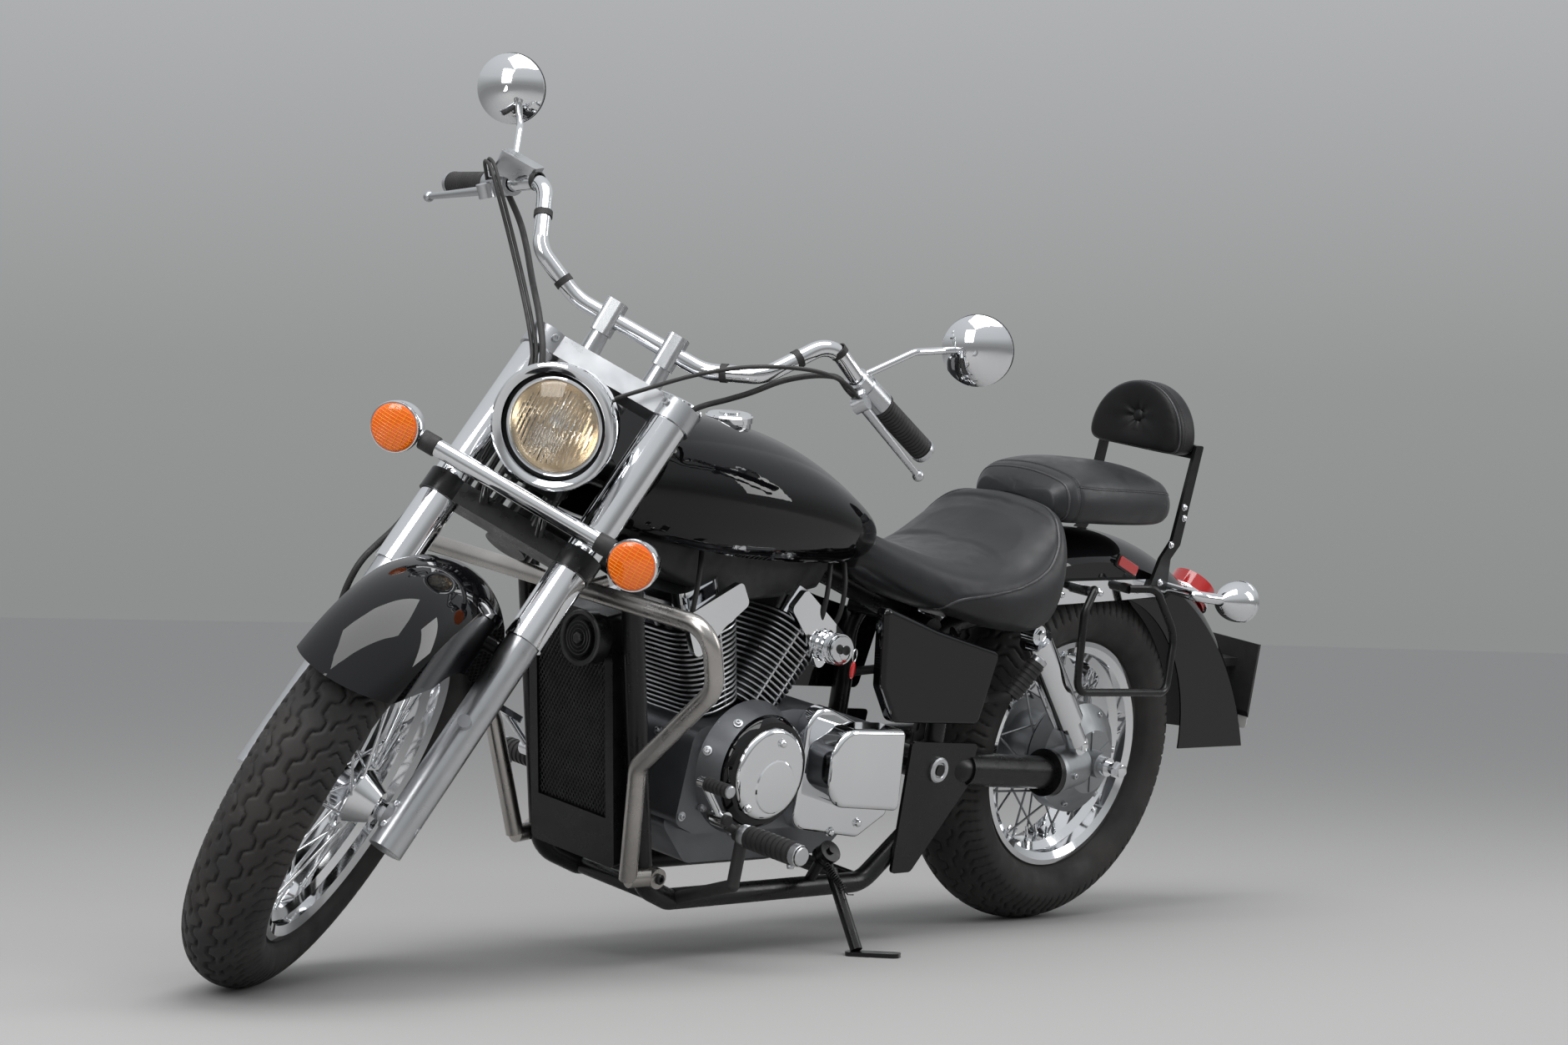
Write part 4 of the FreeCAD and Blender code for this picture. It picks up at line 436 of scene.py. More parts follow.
def scatter_tree():
    """One small piece at every point, its upper side turned to the point's own way."""
    group, inside, outside = node_tree("set_out", (
        ("Piece", "NodeSocketObject"), ("Size", "NodeSocketFloat"), ("Material", "NodeSocketMaterial"),
    ))
    nodes, links = group.nodes, group.links
    shape = nodes.new("GeometryNodeObjectInfo")
    way = nodes.new("GeometryNodeInputNamedAttribute")
    way.data_type = "FLOAT_VECTOR"
    way.inputs["Name"].default_value = "way"
    align = nodes.new("FunctionNodeAlignRotationToVector")
    align.axis = "Z"
    put = nodes.new("GeometryNodeInstanceOnPoints")
    real = nodes.new("GeometryNodeRealizeInstances")
    coat = nodes.new("GeometryNodeSetMaterial")
    links.new(inside.outputs["Piece"], shape.inputs["Object"])
    links.new(way.outputs["Attribute"], align.inputs["Vector"])
    links.new(inside.outputs["Geometry"], put.inputs["Points"])
    links.new(shape.outputs["Geometry"], put.inputs["Instance"])
    links.new(align.outputs["Rotation"], put.inputs["Rotation"])
    links.new(inside.outputs["Size"], put.inputs["Scale"])
    links.new(put.outputs["Instances"], real.inputs["Geometry"])
    links.new(real.outputs["Geometry"], coat.inputs["Geometry"])
    links.new(inside.outputs["Material"], coat.inputs["Material"])
    links.new(coat.outputs["Geometry"], outside.inputs["Geometry"])
    return group


ROUND_WIRE = wire_tree()
SET_OUT = scatter_tree()


def worked(mesh, tree, values, name, body, smooth_below, rides=True):
    """A mesh run through a node tree, then kept as a plain piece on its body."""
    rough = in_scene("rough", mesh)
    step = rough.modifiers.new("nodes", "NODES")
    step.node_group = tree
    for item in tree.interface.items_tree:
        if item.in_out == "INPUT" and item.name in values:
            step[item.identifier] = values[item.name]
    shown = rough.evaluated_get(bpy.context.evaluated_depsgraph_get())
    plain = bpy.data.meshes.new_from_object(shown)
    plain.name = name
    bpy.data.objects.remove(rough)
    plain.transform(PLACES[body])
    piece = in_scene(name, plain)
    soften(plain, smooth_below)
    if rides:
        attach(piece, body)
    return piece


def wires(name, paths, radius, body, material, sides=8, closed=False, smooth_below=50.0,
          rides=True):
    """Round wire along each path of drawing points."""
    made = bmesh.new()
    for path in paths:
        spots = [made.verts.new(p) for p in path]
        for a, b in zip(spots, spots[1:]):
            made.edges.new((a, b))
        if closed:
            made.edges.new((spots[-1], spots[0]))
    values = {"Radius": radius, "Sides": sides, "Material": material}
    return worked(mesh_from(made, "paths"), ROUND_WIRE, values, name, body, smooth_below, rides)


def set_out(name, shape, spots, body, material, size=1.0, smooth_below=35.0):
    """The same small shape at every spot, a point and a way out of the surface."""
    mesh = bpy.data.meshes.new("spots")
    mesh.from_pydata([tuple(p) for p, _ in spots], [], [])
    ways = mesh.attributes.new("way", "FLOAT_VECTOR", "POINT")
    for i, (_, way) in enumerate(spots):
        ways.data[i].vector = way
    values = {"Piece": shape, "Size": size, "Material": material}
    return worked(mesh, SET_OUT, values, name, body, smooth_below)


def smooth_path(points, steps=8, closed=False):
    """A round line through the points."""
    p = [Vector(q) for q in points]
    n = len(p)
    line = []
    for i in range(n if closed else n - 1):
        a = p[(i - 1) % n] if closed or i else p[0] * 2 - p[1]
        b, c = p[i], p[(i + 1) % n]
        d = p[(i + 2) % n] if closed or i + 2 < n else p[-1] * 2 - p[-2]
        for k in range(steps):
            t = k / steps
            line.append(0.5 * (2 * b + (c - a) * t + (2 * a - 5 * b + 4 * c - d) * t * t
                               + (3 * b - a - 3 * c + d) * t ** 3))
    if not closed:
        line.append(p[-1])
    return line


def lathe(made, outline, centre, axis, around=48):
    """Turns an outline of (distance along the axis, radius) pairs; ends at radius 0 are closed."""
    axis = Vector(axis).normalized()
    side = axis.orthogonal().normalized()
    other = axis.cross(side)
    rings = []
    for along, radius in outline:
        middle = Vector(centre) + axis * along
        if radius < 1e-6:
            rings.append([made.verts.new(middle)])
        else:
            turns = [2 * pi * i / around for i in range(around)]
            rings.append([made.verts.new(middle + (side * cos(t) + other * sin(t)) * radius) for t in turns])
    for low, high in zip(rings, rings[1:]):
        for i in range(around):
            j = (i + 1) % around
            if len(low) == 1 and len(high) > 1:
                made.faces.new((low[0], high[i], high[j]))
            elif len(high) == 1 and len(low) > 1:
                made.faces.new((low[i], low[j], high[0]))
            elif len(low) > 1:
                made.faces.new((low[i], low[j], high[j], high[i]))
    bmesh.ops.recalc_face_normals(made, faces=made.faces)
    return made


def shape_of(name, outline, around=24):
    """A small turned shape that stands on the origin, kept out of the scene for setting out."""
    made = bmesh.new()
    lathe(made, outline, (0, 0, 0), (0, 0, 1), around)
    return bpy.data.objects.new(name, mesh_from(made, name))


SOCKET_BOLT = shape_of("socket_bolt", [
    (-0.5, 0), (-0.5, 1.0), (0.62, 1.0), (0.8, 0.85), (0.8, 0.5), (0.3, 0.5), (0.3, 0),
])
HEX_BOLT = shape_of("hex_bolt", [
    (-0.4, 0), (-0.4, 1.25), (0.1, 1.25), (0.12, 1.0), (0.75, 1.0), (0.85, 0.8), (0.85, 0),
], 6)
DOME_NUT = shape_of("dome_nut", [
    (-0.4, 0), (-0.4, 1.3), (0.15, 1.3), (0.15, 1.0), (0.7, 1.0), (1.0, 0.8), (1.2, 0.45), (1.25, 0),
])


# Tyres
# Black rubber on wire wheels. The tread is a pair of stepped grooves round the middle, hooked
# grooves beside them and slanted cuts over the shoulders, moulded in a pattern that repeats. Its
# lines are drawn on one pitch, across and along the tyre.
TREAD_DEPTH = 4.2
TREAD_ROWS_A_PITCH = 16
TREAD_COLUMNS = 68
WALL_COLUMNS = 11
TREAD_LINES = [
    [(-20, 0), (-20, 14), (-9, 22), (-9, 38), (-20, 46)],
    [(20, 0), (20, 14), (9, 22), (9, 38), (20, 46)],
    [(-31, 30), (-31, 42), (-42, 54), (-42, 64)],
    [(31, 8), (31, 20), (42, 32), (42, 42)],
    [(-50, 4), (-58, 16), (-84, 8)], [(50, 24), (58, 36), (84, 28)],
    [(-53, 28), (-62, 38), (-88, 30)], [(53, 2), (62, 12), (88, 4)],
]
TREAD_PITCH = 46.0
GROOVE_HALF = 2.0
GROOVE_SLOPE = 1.3
TREAD_DRAWN_HALF = 83.0
INSIDE_RIM = 15.0

TYRE_RUBBER = finish("tyre_rubber", (0.018, 0.017, 0.017), (0.036, 0.033, 0.031),
                     rough=(0.55, 0.8), scale=26.0, bump=0.35, bump_scale=420.0, colour_scale=9.0,
                     specular=0.35)


def arc_points(a, through, b, count):
    """Points along the arc from a to b by way of a middle point, in a plane."""
    ax, ay = a
    bx, by = through
    cx, cy = b
    a2, b2, c2 = ax * ax + ay * ay, bx * bx + by * by, cx * cx + cy * cy
    d = 2 * (ax * (by - cy) + bx * (cy - ay) + cx * (ay - by))
    ux = (a2 * (by - cy) + b2 * (cy - ay) + c2 * (ay - by)) / d
    uy = (a2 * (cx - bx) + b2 * (ax - cx) + c2 * (bx - ax)) / d
    start, middle, end = (atan2(y - uy, x - ux) for x, y in (a, through, b))
    turn = (end - start) % (2 * pi)
    if (middle - start) % (2 * pi) > turn:
        turn -= 2 * pi
    radius = hypot(ax - ux, ay - uy)
    turns = [start + turn * i / count for i in range(count + 1)]
    return [(ux + radius * cos(t), uy + radius * sin(t)) for t in turns]


def groove_depth(across, along, spread):
    """How deep the tread is cut at that place: lines are drawn for one pitch and repeat."""
    nearest = 1e9
    for line in TREAD_LINES:
        for (ax, ay), (bx, by) in zip(line, line[1:]):
            for turn in (-TREAD_PITCH, 0, TREAD_PITCH):
                px, py = across - ax * spread, along - ay - turn
                dx, dy = (bx - ax) * spread, by - ay
                t = max(0.0, min(1.0, (px * dx + py * dy) / (dx * dx + dy * dy)))
                nearest = min(nearest, hypot(px - dx * t, py - dy * t))
    t = max(0.0, min(1.0, (GROOVE_HALF + GROOVE_SLOPE - nearest) / (2 * GROOVE_SLOPE)))
    return TREAD_DEPTH * t * t * (3 - 2 * t)


def tyre(name, body, centre, radius, width, crown_r, rim_r, rim_width):
    """Walls, and a crowned tread cut by the grooves, turned once round the wheel."""
    half = width / 2
    seat = rim_width / 2 - 4.3
    spread = asin(min(1.0, half / crown_r))
    shoulder = radius - crown_r + crown_r * cos(spread)
    bead = rim_r + 3.0
    bulge = (shoulder + bead) / 2
    wall = arc_points((bead, -seat), (bulge - 6, -half * 0.995 + 4), (shoulder, -half), WALL_COLUMNS)
    wall[3] = (wall[3][0], wall[3][1] - 1.0)
    wall[4] = (wall[4][0], wall[4][1] - 1.0)
    profile = [(rim_r - INSIDE_RIM, -seat, None)] + [(r, y, None) for r, y in wall[:-1]]
    for i in range(TREAD_COLUMNS + 1):
        a = spread * (2 * i / TREAD_COLUMNS - 1)
        profile.append((radius - crown_r + crown_r * cos(a), crown_r * sin(a), a))
    profile += [(r, -y, None) for r, y in reversed(wall[:-1])] + [(rim_r - INSIDE_RIM, seat, None)]
    pitches = round(2 * pi * radius / TREAD_PITCH)
    stretch = spread * crown_r / TREAD_DRAWN_HALF
    cuts = []
    for row in range(TREAD_ROWS_A_PITCH):
        along = TREAD_PITCH * row / TREAD_ROWS_A_PITCH
        cuts.append([0.0 if a is None else groove_depth(a * crown_r, along, stretch)
                     for _, _, a in profile])
    rows = pitches * TREAD_ROWS_A_PITCH
    made = bmesh.new()
    rings = []
    for k in range(rows):
        angle = 2 * pi * k / rows
        ring = []
        for (r, y, a), cut in zip(profile, cuts[k % TREAD_ROWS_A_PITCH]):
            if a is not None:
                r, y = r - cut * cos(a), y - cut * sin(a)
            ring.append(made.verts.new(centre + Vector((r * cos(angle), y, r * sin(angle)))))
        rings.append(ring)
    for k in range(rows):
        low, high = rings[k], rings[(k + 1) % rows]
        for i in range(len(profile)):
            j = (i + 1) % len(profile)
            made.faces.new((low[i], high[i], high[j], low[j]))
    bmesh.ops.recalc_face_normals(made, faces=made.faces)
    piece = placed_bmesh(made, name, body, TYRE_RUBBER, 60.0)
    return piece


FRONT_RIM_R, REAR_RIM_R = 233.0, 207.0
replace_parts(tyre("front_tread", "front_wheel", AXLE_F, FRONT_RADIUS, 118.0, 60.0, FRONT_RIM_R, 84.0),
            "front_tyre")
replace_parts(tyre("rear_tread", "rear_wheel", AXLE_R, REAR_RADIUS, 160.0, 88.0, REAR_RIM_R, 112.0),
            "rear_tyre")


# Spoke nipples
# Bright hexagon sleeves that draw each spoke into the rim, one at every spoke's end.
SPOKES_A_SIDE = 18
SPOKE_SWEEP = radians(34.0)
RIM_DEPTH = 33.3
NIPPLE = shape_of("nipple", [
    (-1.0, 0), (-1.0, 4.2), (4.0, 4.2), (5.0, 3.2), (18.0, 3.0), (19.0, 2.0), (19.0, 0),
], 8)


def nipples(name, body, centre, rim_inner, spoke_y):
    spots = []
    for side in (1, -1):
        for i in range(SPOKES_A_SIDE):
            lean = 1 if i % 2 else -1
            step = 2 * pi / SPOKES_A_SIDE
            at = step * i + (step / 2 if side < 0 else 0) + lean * SPOKE_SWEEP
            point = centre + Vector((rim_inner * cos(at), side * (spoke_y + lean), rim_inner * sin(at)))
            inward = Vector((-cos(at), side * 0.18, -sin(at)))
            spots.append((point, inward))
    set_out(name, NIPPLE, spots, body, CHROME)


nipples("front_nipples", "front_wheel", AXLE_F, FRONT_RIM_R - RIM_DEPTH, 7.0)
nipples("rear_nipples", "rear_wheel", AXLE_R, REAR_RIM_R - RIM_DEPTH, 9.0)


# Seats and back rest
# Moulded foam under satin leather. The covers are sewn from panels: a welt runs round each panel's
# edge, the foam swells a little between the seams, and the back rest is drawn in by a button. The
# tops are given a lighter copy of the leather, and the sides and the back rest a darker one: painted
# light on the tops and painted shade on the sides. A section is a place along the seat, its foot
# and its top, and half its width.
SEAT_SECTIONS = [
    (640, 640, 716, 58), (560, 606, 694, 112), (450, 580, 676, 156), (350, 560, 690, 178),
    (262, 556, 744, 180), (222, 590, 778, 162), (196, 640, 776, 120),
]
PILLION_SECTIONS = [
    (193, 752, 806, 90), (160, 742, 832, 112), (90, 742, 846, 122), (0, 742, 846, 122),
    (-100, 744, 840, 110), (-147, 752, 820, 88),
]
SEAT_SHARES = (0.86, 0.80, 0.10)
PILLION_SHARES = (0.90, 0.84, 0.14)
SEAT_SEAM = [
    (502, 116, 582), (476, 144, 614), (410, 163, 629), (340, 172, 647), (284, 171, 674),
    (252, 160, 707), (238, 145, 735), (222, 112, 762), (204, 60, 775), (200, 0, 778),
]
PILLION_PIPING_X = 172.0
PILLION_BAND_X = 150.0
PILLION_SIDE_SEAM = [
    (150, 106, 812), (100, 118, 812), (40, 119, 812), (-20, 117, 812), (-80, 112, 811),
    (-130, 96, 806), (-149, 70, 798),
]
PAD_FRONT_X = -116.0
PAD_BACK_X = -171.0
PAD_CENTRE_Z = 896.0
PAD_RADIUS = 105.0
PAD_FOOT_Z = 877.0
BUTTON_Z = 936.0
PAD_SHARES = (0.82, 0.74, 0.66, 0.58, 0.50, 0.42, 0.34, 0.26, 0.19, 0.12, 0.06)
SWELL_FRAMES = 20
BESIDE = 4.0
TUCKED = 0.4
FOLD_REACH = 14.0
THREAD_R = 0.45
THREAD_LIFT = 0.25
THREAD_ARCH = 0.35


def leather(name, dark, light, specular):
    """Satin leather: pebbled grain in cells about a millimetre wide, with soft creases over it."""
    material = finish(name, dark, light, rough=(0.34, 0.50), scale=34.0, specular=specular,
                      colour_scale=11.0, sheen=0.03)
    nodes, links = material.node_tree.nodes, material.node_tree.links
    where = nodes.new("ShaderNodeTexCoord")
    cells = nodes.new("ShaderNodeTexVoronoi")
    cells.feature = "F1"
    cells.inputs["Scale"].default_value = 620.0
    creases = nodes.new("ShaderNodeTexNoise")
    creases.inputs["Scale"].default_value = 46.0
    creases.inputs["Detail"].default_value = 6.0
    pebbles = nodes.new("ShaderNodeBump")
    pebbles.inputs["Strength"].default_value = 0.22
    pebbles.inputs["Distance"].default_value = 0.0004
    folds = nodes.new("ShaderNodeBump")
    folds.inputs["Strength"].default_value = 0.16
    folds.inputs["Distance"].default_value = 0.0016
    links.new(where.outputs["Object"], cells.inputs["Vector"])
    links.new(where.outputs["Object"], creases.inputs["Vector"])
    links.new(cells.outputs["Distance"], pebbles.inputs["Height"])
    links.new(creases.outputs["Fac"], folds.inputs["Height"])
    links.new(folds.outputs["Normal"], pebbles.inputs["Normal"])
    links.new(pebbles.outputs["Normal"], nodes["Principled BSDF"].inputs["Normal"])
    return material


# One leather in two copies: the lighter top copy is painted light, the darker side copy painted shade.
LIT_TOP_LEATHER = leather("leather_painted_lit_top", (0.011, 0.0115, 0.013), (0.018, 0.019, 0.021), 0.42)
SHADED_SIDE_LEATHER = leather("leather_painted_shaded_side", (0.004, 0.004, 0.0045), (0.007, 0.007, 0.008), 0.26)
WELT = finish("leather_welt", (0.030, 0.030, 0.033), (0.046, 0.046, 0.050), rough=(0.20, 0.30),
              scale=90.0)
THREAD = finish("seat_thread", (0.030, 0.030, 0.032), (0.050, 0.050, 0.052), rough=(0.5, 0.6),
                scale=300.0)


def bridged(made, rows):
    """Faces between neighbouring closed rows of points."""
    faces = []
    for low, high in zip(rows, rows[1:]):
        for i in range(len(low)):
            j = (i + 1) % len(low)
            faces.append(made.faces.new((low[i], low[j], high[j], high[i])))
    return faces


def fanned(made, row, tip):
    """Closes the end of a row of points with faces to one more point."""
    point = made.verts.new(tip)
    for i in range(len(row)):
        made.faces.new((point, row[i], row[(i + 1) % len(row)]))


def turned(name, body, material, smooth_below, parts):
    """One piece of turned parts, each an outline, a centre, an axis and how many sides go round."""
    made = bmesh.new()
    for outline, centre, axis, around in parts:
        lathe(made, outline, centre, axis, around)
    return placed_bmesh(made, name, body, material, smooth_below)


def relaxed(line, times):
    """Rounds a closed outline off by moving each point towards its neighbours."""
    for _ in range(times):
        line = [
            ((line[i - 1][0] + 2 * y + line[(i + 1) % len(line)][0]) / 4,
             (line[i - 1][1] + 2 * z + line[(i + 1) % len(line)][1]) / 4)
            for i, (y, z) in enumerate(line)
        ]
    return line


def cushion_ring(section, shares, sides=14, top=30, foot=8):
    """Points round one cross-section: over the top from the left foot to the right, and back under."""
    x, low, high, half = section
    foot_share, shoulder_share, crown_share = shares
    tall = high - low
    corner = (half * foot_share, low)
    shoulder = (half * shoulder_share, high - tall * crown_share)
    left = arc_points(corner, (half, low + tall * 0.40), shoulder, sides)
    over = arc_points(shoulder, (0, high), (-shoulder[0], shoulder[1]), top)
    right = [(-y, z) for y, z in reversed(left)]
    under = [(-corner[0] + 2 * corner[0] * i / foot, low) for i in range(1, foot)]
    line = relaxed(left + over[1:] + right[1:] + under, 5)
    return [Vector((x, y, z)) for y, z in line]


def cushion_mesh(sections, shares, steps, rounding):
    """Rings along the seat, closed by ends that round over."""
    rings = [cushion_ring(s, shares) for s in smooth_path([Vector(s) for s in sections], steps)]
    made = bmesh.new()
    capped = []
    for end, ring_there in ((1, rings[0]), (-1, rings[-1])):
        middle = sum(ring_there, Vector()) / len(ring_there)
        shells = []
        for share in (0.97, 0.90, 0.78, 0.62, 0.42, 0.20):
            out = Vector((end * rounding * sqrt(1 - share * share), 0, 0))
            shells.append([middle + (p - middle) * share + out for p in ring_there])
        capped.append((shells, middle + Vector((end * rounding, 0, 0))))
    lines = list(reversed(capped[0][0])) + rings + capped[1][0]
    rows = [[made.verts.new(p) for p in line] for line in lines]
    bridged(made, rows)
    fanned(made, rows[0], capped[0][1])
    fanned(made, rows[-1], capped[1][1])
    bmesh.ops.recalc_face_normals(made, faces=made.faces)
    return made


def swollen(made, body, held, most):
    """Foam under a tight cover: pressure swells it between the held points, by no more than so far."""
    bmesh.ops.transform(made, matrix=PLACES[body], verts=made.verts)
    mesh = mesh_from(made, "foam")
    start = [v.co.copy() for v in mesh.vertices]
    foam = in_scene("foam", mesh)
    group = foam.vertex_groups.new(name="held")
    group.add(held, 1.0, "REPLACE")
    cloth = foam.modifiers.new("cloth", "CLOTH")
    cloth.settings.quality = 6
    cloth.settings.mass = 0.3
    cloth.settings.tension_stiffness = 12.0
    cloth.settings.compression_stiffness = 12.0
    cloth.settings.bending_stiffness = 0.4
    cloth.settings.vertex_group_mass = "held"
    cloth.settings.use_pressure = True
    cloth.settings.uniform_pressure_force = 4.0
    cloth.settings.effector_weights.gravity = 0.0
    cloth.point_cache.frame_start = 1
    cloth.point_cache.frame_end = SWELL_FRAMES
    for number in range(1, SWELL_FRAMES + 1):
        bpy.context.scene.frame_set(number)
    shown = foam.evaluated_get(bpy.context.evaluated_depsgraph_get()).to_mesh()
    for v, before, after in zip(mesh.vertices, start, [w.co.copy() for w in shown.vertices]):
        move = after - before
        if move.length > most * MM:
            move *= most * MM / move.length
        v.co = before + move
    bpy.data.objects.remove(foam)
    bpy.context.scene.frame_set(1)
    return mesh


def subdivided(mesh, times=1):
    """The mesh after Catmull-Clark subdivision."""
    rough = in_scene("rough", mesh)
    step = rough.modifiers.new("finer", "SUBSURF")
    step.levels = step.render_levels = times
    finer = bpy.data.meshes.new_from_object(rough.evaluated_get(bpy.context.evaluated_depsgraph_get()))
    bpy.data.objects.remove(rough)
    return finer


def kept_within(mesh, body, node, neighbours, proud):
    """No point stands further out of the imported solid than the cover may, nor at all beside a neighbour."""
    place, back = PLACES[body], PLACES[body].inverted()
    for v in mesh.vertices:
        here = back @ v.co
        spot, out = nearest_on(node, here)
        allowed = proud
        for other in neighbours:
            near, _ = nearest_on(other, here)
            if (near - here).length < proud + BESIDE:
                allowed = -TUCKED
        height = (here - spot).dot(out)
        if allowed < height < FOLD_REACH:
            v.co = place @ (here + out * (allowed - height))


def sewn_in(mesh, body, lines, width, depth):
    """Draws the cover in along each seam, and gives the seams as they lie on it."""
    place = PLACES[body]
    runs = [[place @ Vector(p) for p in line] for line in lines]
    spots = [p for run in runs for p in run]
    tree = KDTree(len(spots))
    for i, p in enumerate(spots):
        tree.insert(p, i)
    tree.balance()
    moves = []
    for v in mesh.vertices:
        _, _, far = tree.find(v.co)
        t = max(0.0, 1.0 - far / (width * MM))
        moves.append(v.co - v.normal * (depth * MM * t * t * (3 - 2 * t)))
    for v, to in zip(mesh.vertices, moves):
        v.co = to
    skin = bmesh.new()
    skin.from_mesh(mesh)
    surface = BVHTree.FromBMesh(skin)
    skin.free()
    back = place.inverted()
    laid = [[back @ surface.find_nearest(p)[0] for p in run] for run in runs]
    return laid, surface


def panels(mesh, body, two_sided):
    """Gives the faces below or outside a seam the second, darker leather, painted shade on the sides, by a
    test of the drawing point.
    """
    back = PLACES[body].inverted()
    for face in mesh.polygons:
        face.material_index = 1 if two_sided(back @ face.center) else 0


def stitches(name, lines, surface, body, gap, length, aside=0.0):
    """Short threads along each seam, a little to one side of it, lying on the cover."""
    place, back = PLACES[body], PLACES[body].inverted()
    runs = []
    for line in lines:
        walk = 0.0
        for a, b in zip(line, line[1:]):
            run = (b - a).length
            while walk < run:
                start = a + (b - a) * (walk / run)
                way = (b - a).normalized()
                _, normal, _, _ = surface.find_nearest(place @ start)
                out = (back.to_3x3().normalized() @ normal).normalized()
                side = out.cross(way) * aside
                ends = [place @ (start + side + way * d) for d in (0, length)]
                first, last = [back @ surface.find_nearest(p)[0] + out * THREAD_LIFT for p in ends]
                runs.append([first, (first + last) / 2 + out * THREAD_ARCH, last])
                walk += gap
            walk -= run
    wires(name, runs, THREAD_R, body, THREAD, sides=5)


def dressed(mesh, name, body, materials, node):
    """A finished cover in place of its packed cushion."""
    mesh.name = name
    mesh.materials.clear()
    for material in materials:
        mesh.materials.append(material)
    soften(mesh, 80.0)
    piece = in_scene(name, mesh)
    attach(piece, body)
    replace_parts(piece, node)
    return piece


def mirrored(point, side):
    """The point on the left for side 1, and its mirror on the right for side -1."""
    return Vector((point[0], side * point[1], point[2]))


def both(line):
    """A line and its mirror on the right side."""
    return [line, [mirrored(p, -1) for p in line]]


def make_rider_seat():
    made = cushion_mesh(SEAT_SECTIONS, SEAT_SHARES, 10, 3.0)
    seam = smooth_path(SEAT_SEAM, 12)
    sewn = seam[::4] + [mirrored(p, -1) for p in seam[::4]]
    held = [v.index for v in made.verts if v.co.z < 600 or min((v.co - p).length for p in sewn) < 9]
    mesh = subdivided(swollen(made, "chassis", held, 4.0))
    near = ["fuel_tank", "frame", "rear_fender", "fender_rails", "shock_absorbers", "side_covers"]
    kept_within(mesh, "chassis", "rider_seat", near, 3.0)
    laid, surface = sewn_in(mesh, "chassis", both(seam), 7.0, 1.2)

    def below_seam(p):
        nearest = min(seam, key=lambda q: (q.x - p.x) ** 2 + (q.z - p.z) ** 2)
        return p.z < nearest.z - 0.4 * abs(p.x - nearest.x) and (p.x < 502 or p.z < 590)

    panels(mesh, "chassis", below_seam)
    dressed(mesh, "rider_seat_cover", "chassis", (LIT_TOP_LEATHER, SHADED_SIDE_LEATHER), "rider_seat")
    wires("rider_seat_welts", laid, 2.7, "chassis", WELT, sides=8)
    stitches("rider_seat_stitches", laid, surface, "chassis", 5.0, 3.4, aside=3.0)


def section_line(sections, shares, x):
    """The cross-section of a seat at that place, from the left foot over the top to the right."""
    rows = smooth_path([Vector(s) for s in sections], 24)
    row = min(rows, key=lambda s: abs(s.x - x))
    return cushion_ring(row, shares)[1:58]


def make_pillion_seat():
    made = cushion_mesh(PILLION_SECTIONS, PILLION_SHARES, 9, 4.0)
    piping = section_line(PILLION_SECTIONS, PILLION_SHARES, PILLION_PIPING_X)
    band = section_line(PILLION_SECTIONS, PILLION_SHARES, PILLION_BAND_X)
    side = both(smooth_path(PILLION_SIDE_SEAM, 10))
    seams = piping[::3] + band[::3] + side[0][::3] + side[1][::3]
    held = [v.index for v in made.verts if v.co.z < 756 or min((v.co - p).length for p in seams) < 7]
    mesh = subdivided(swollen(made, "chassis", held, 4.5))
    kept_within(mesh, "chassis", "pillion_seat", ["rear_fender", "sissy_bar", "frame", "fender_rails"], 3.0)
    laid, surface = sewn_in(mesh, "chassis", [piping, band] + side, 6.0, 1.5)

    def front_or_side(p):
        return p.x > PILLION_PIPING_X or p.z < 810

    panels(mesh, "chassis", front_or_side)
    dressed(mesh, "pillion_seat_cover", "chassis", (LIT_TOP_LEATHER, SHADED_SIDE_LEATHER), "pillion_seat")
    wires("pillion_seat_piping", [laid[0]], 2.4, "chassis", WELT, sides=10)
    wires("pillion_seat_welts", laid[2:], 1.5, "chassis", WELT, sides=8)
    stitches("pillion_seat_stitches", laid[1:], surface, "chassis", 4.6, 3.2,
             aside=2.6)
    stitches("pillion_band_stitches", laid[1:2], surface, "chassis", 4.6, 3.2,
             aside=-2.6)


def pad_outline(share):
    """The half-round outline of the back rest, about the button, scaled in towards it."""
    reach = sqrt(PAD_RADIUS ** 2 - (PAD_CENTRE_Z - PAD_FOOT_Z) ** 2)
    start = atan2(PAD_FOOT_Z - PAD_CENTRE_Z, reach)
    turns = [start + (pi - 2 * start) * i / 56 for i in range(57)]
    arc = [(PAD_RADIUS * cos(t), PAD_CENTRE_Z + PAD_RADIUS * sin(t)) for t in turns]
    foot = [(-reach + 2 * reach * i / 26, PAD_FOOT_Z) for i in range(1, 26)]
    return [(y * share, BUTTON_Z + (z - BUTTON_Z) * share) for y, z in relaxed(arc + foot, 10)]


def back_of_band(p):
    """A point of the pad's front edge, moved to the seam behind its side band."""
    return Vector((PAD_FRONT_X - 20, p.y * 1.01, BUTTON_Z + (p.z - BUTTON_Z) * 1.01))


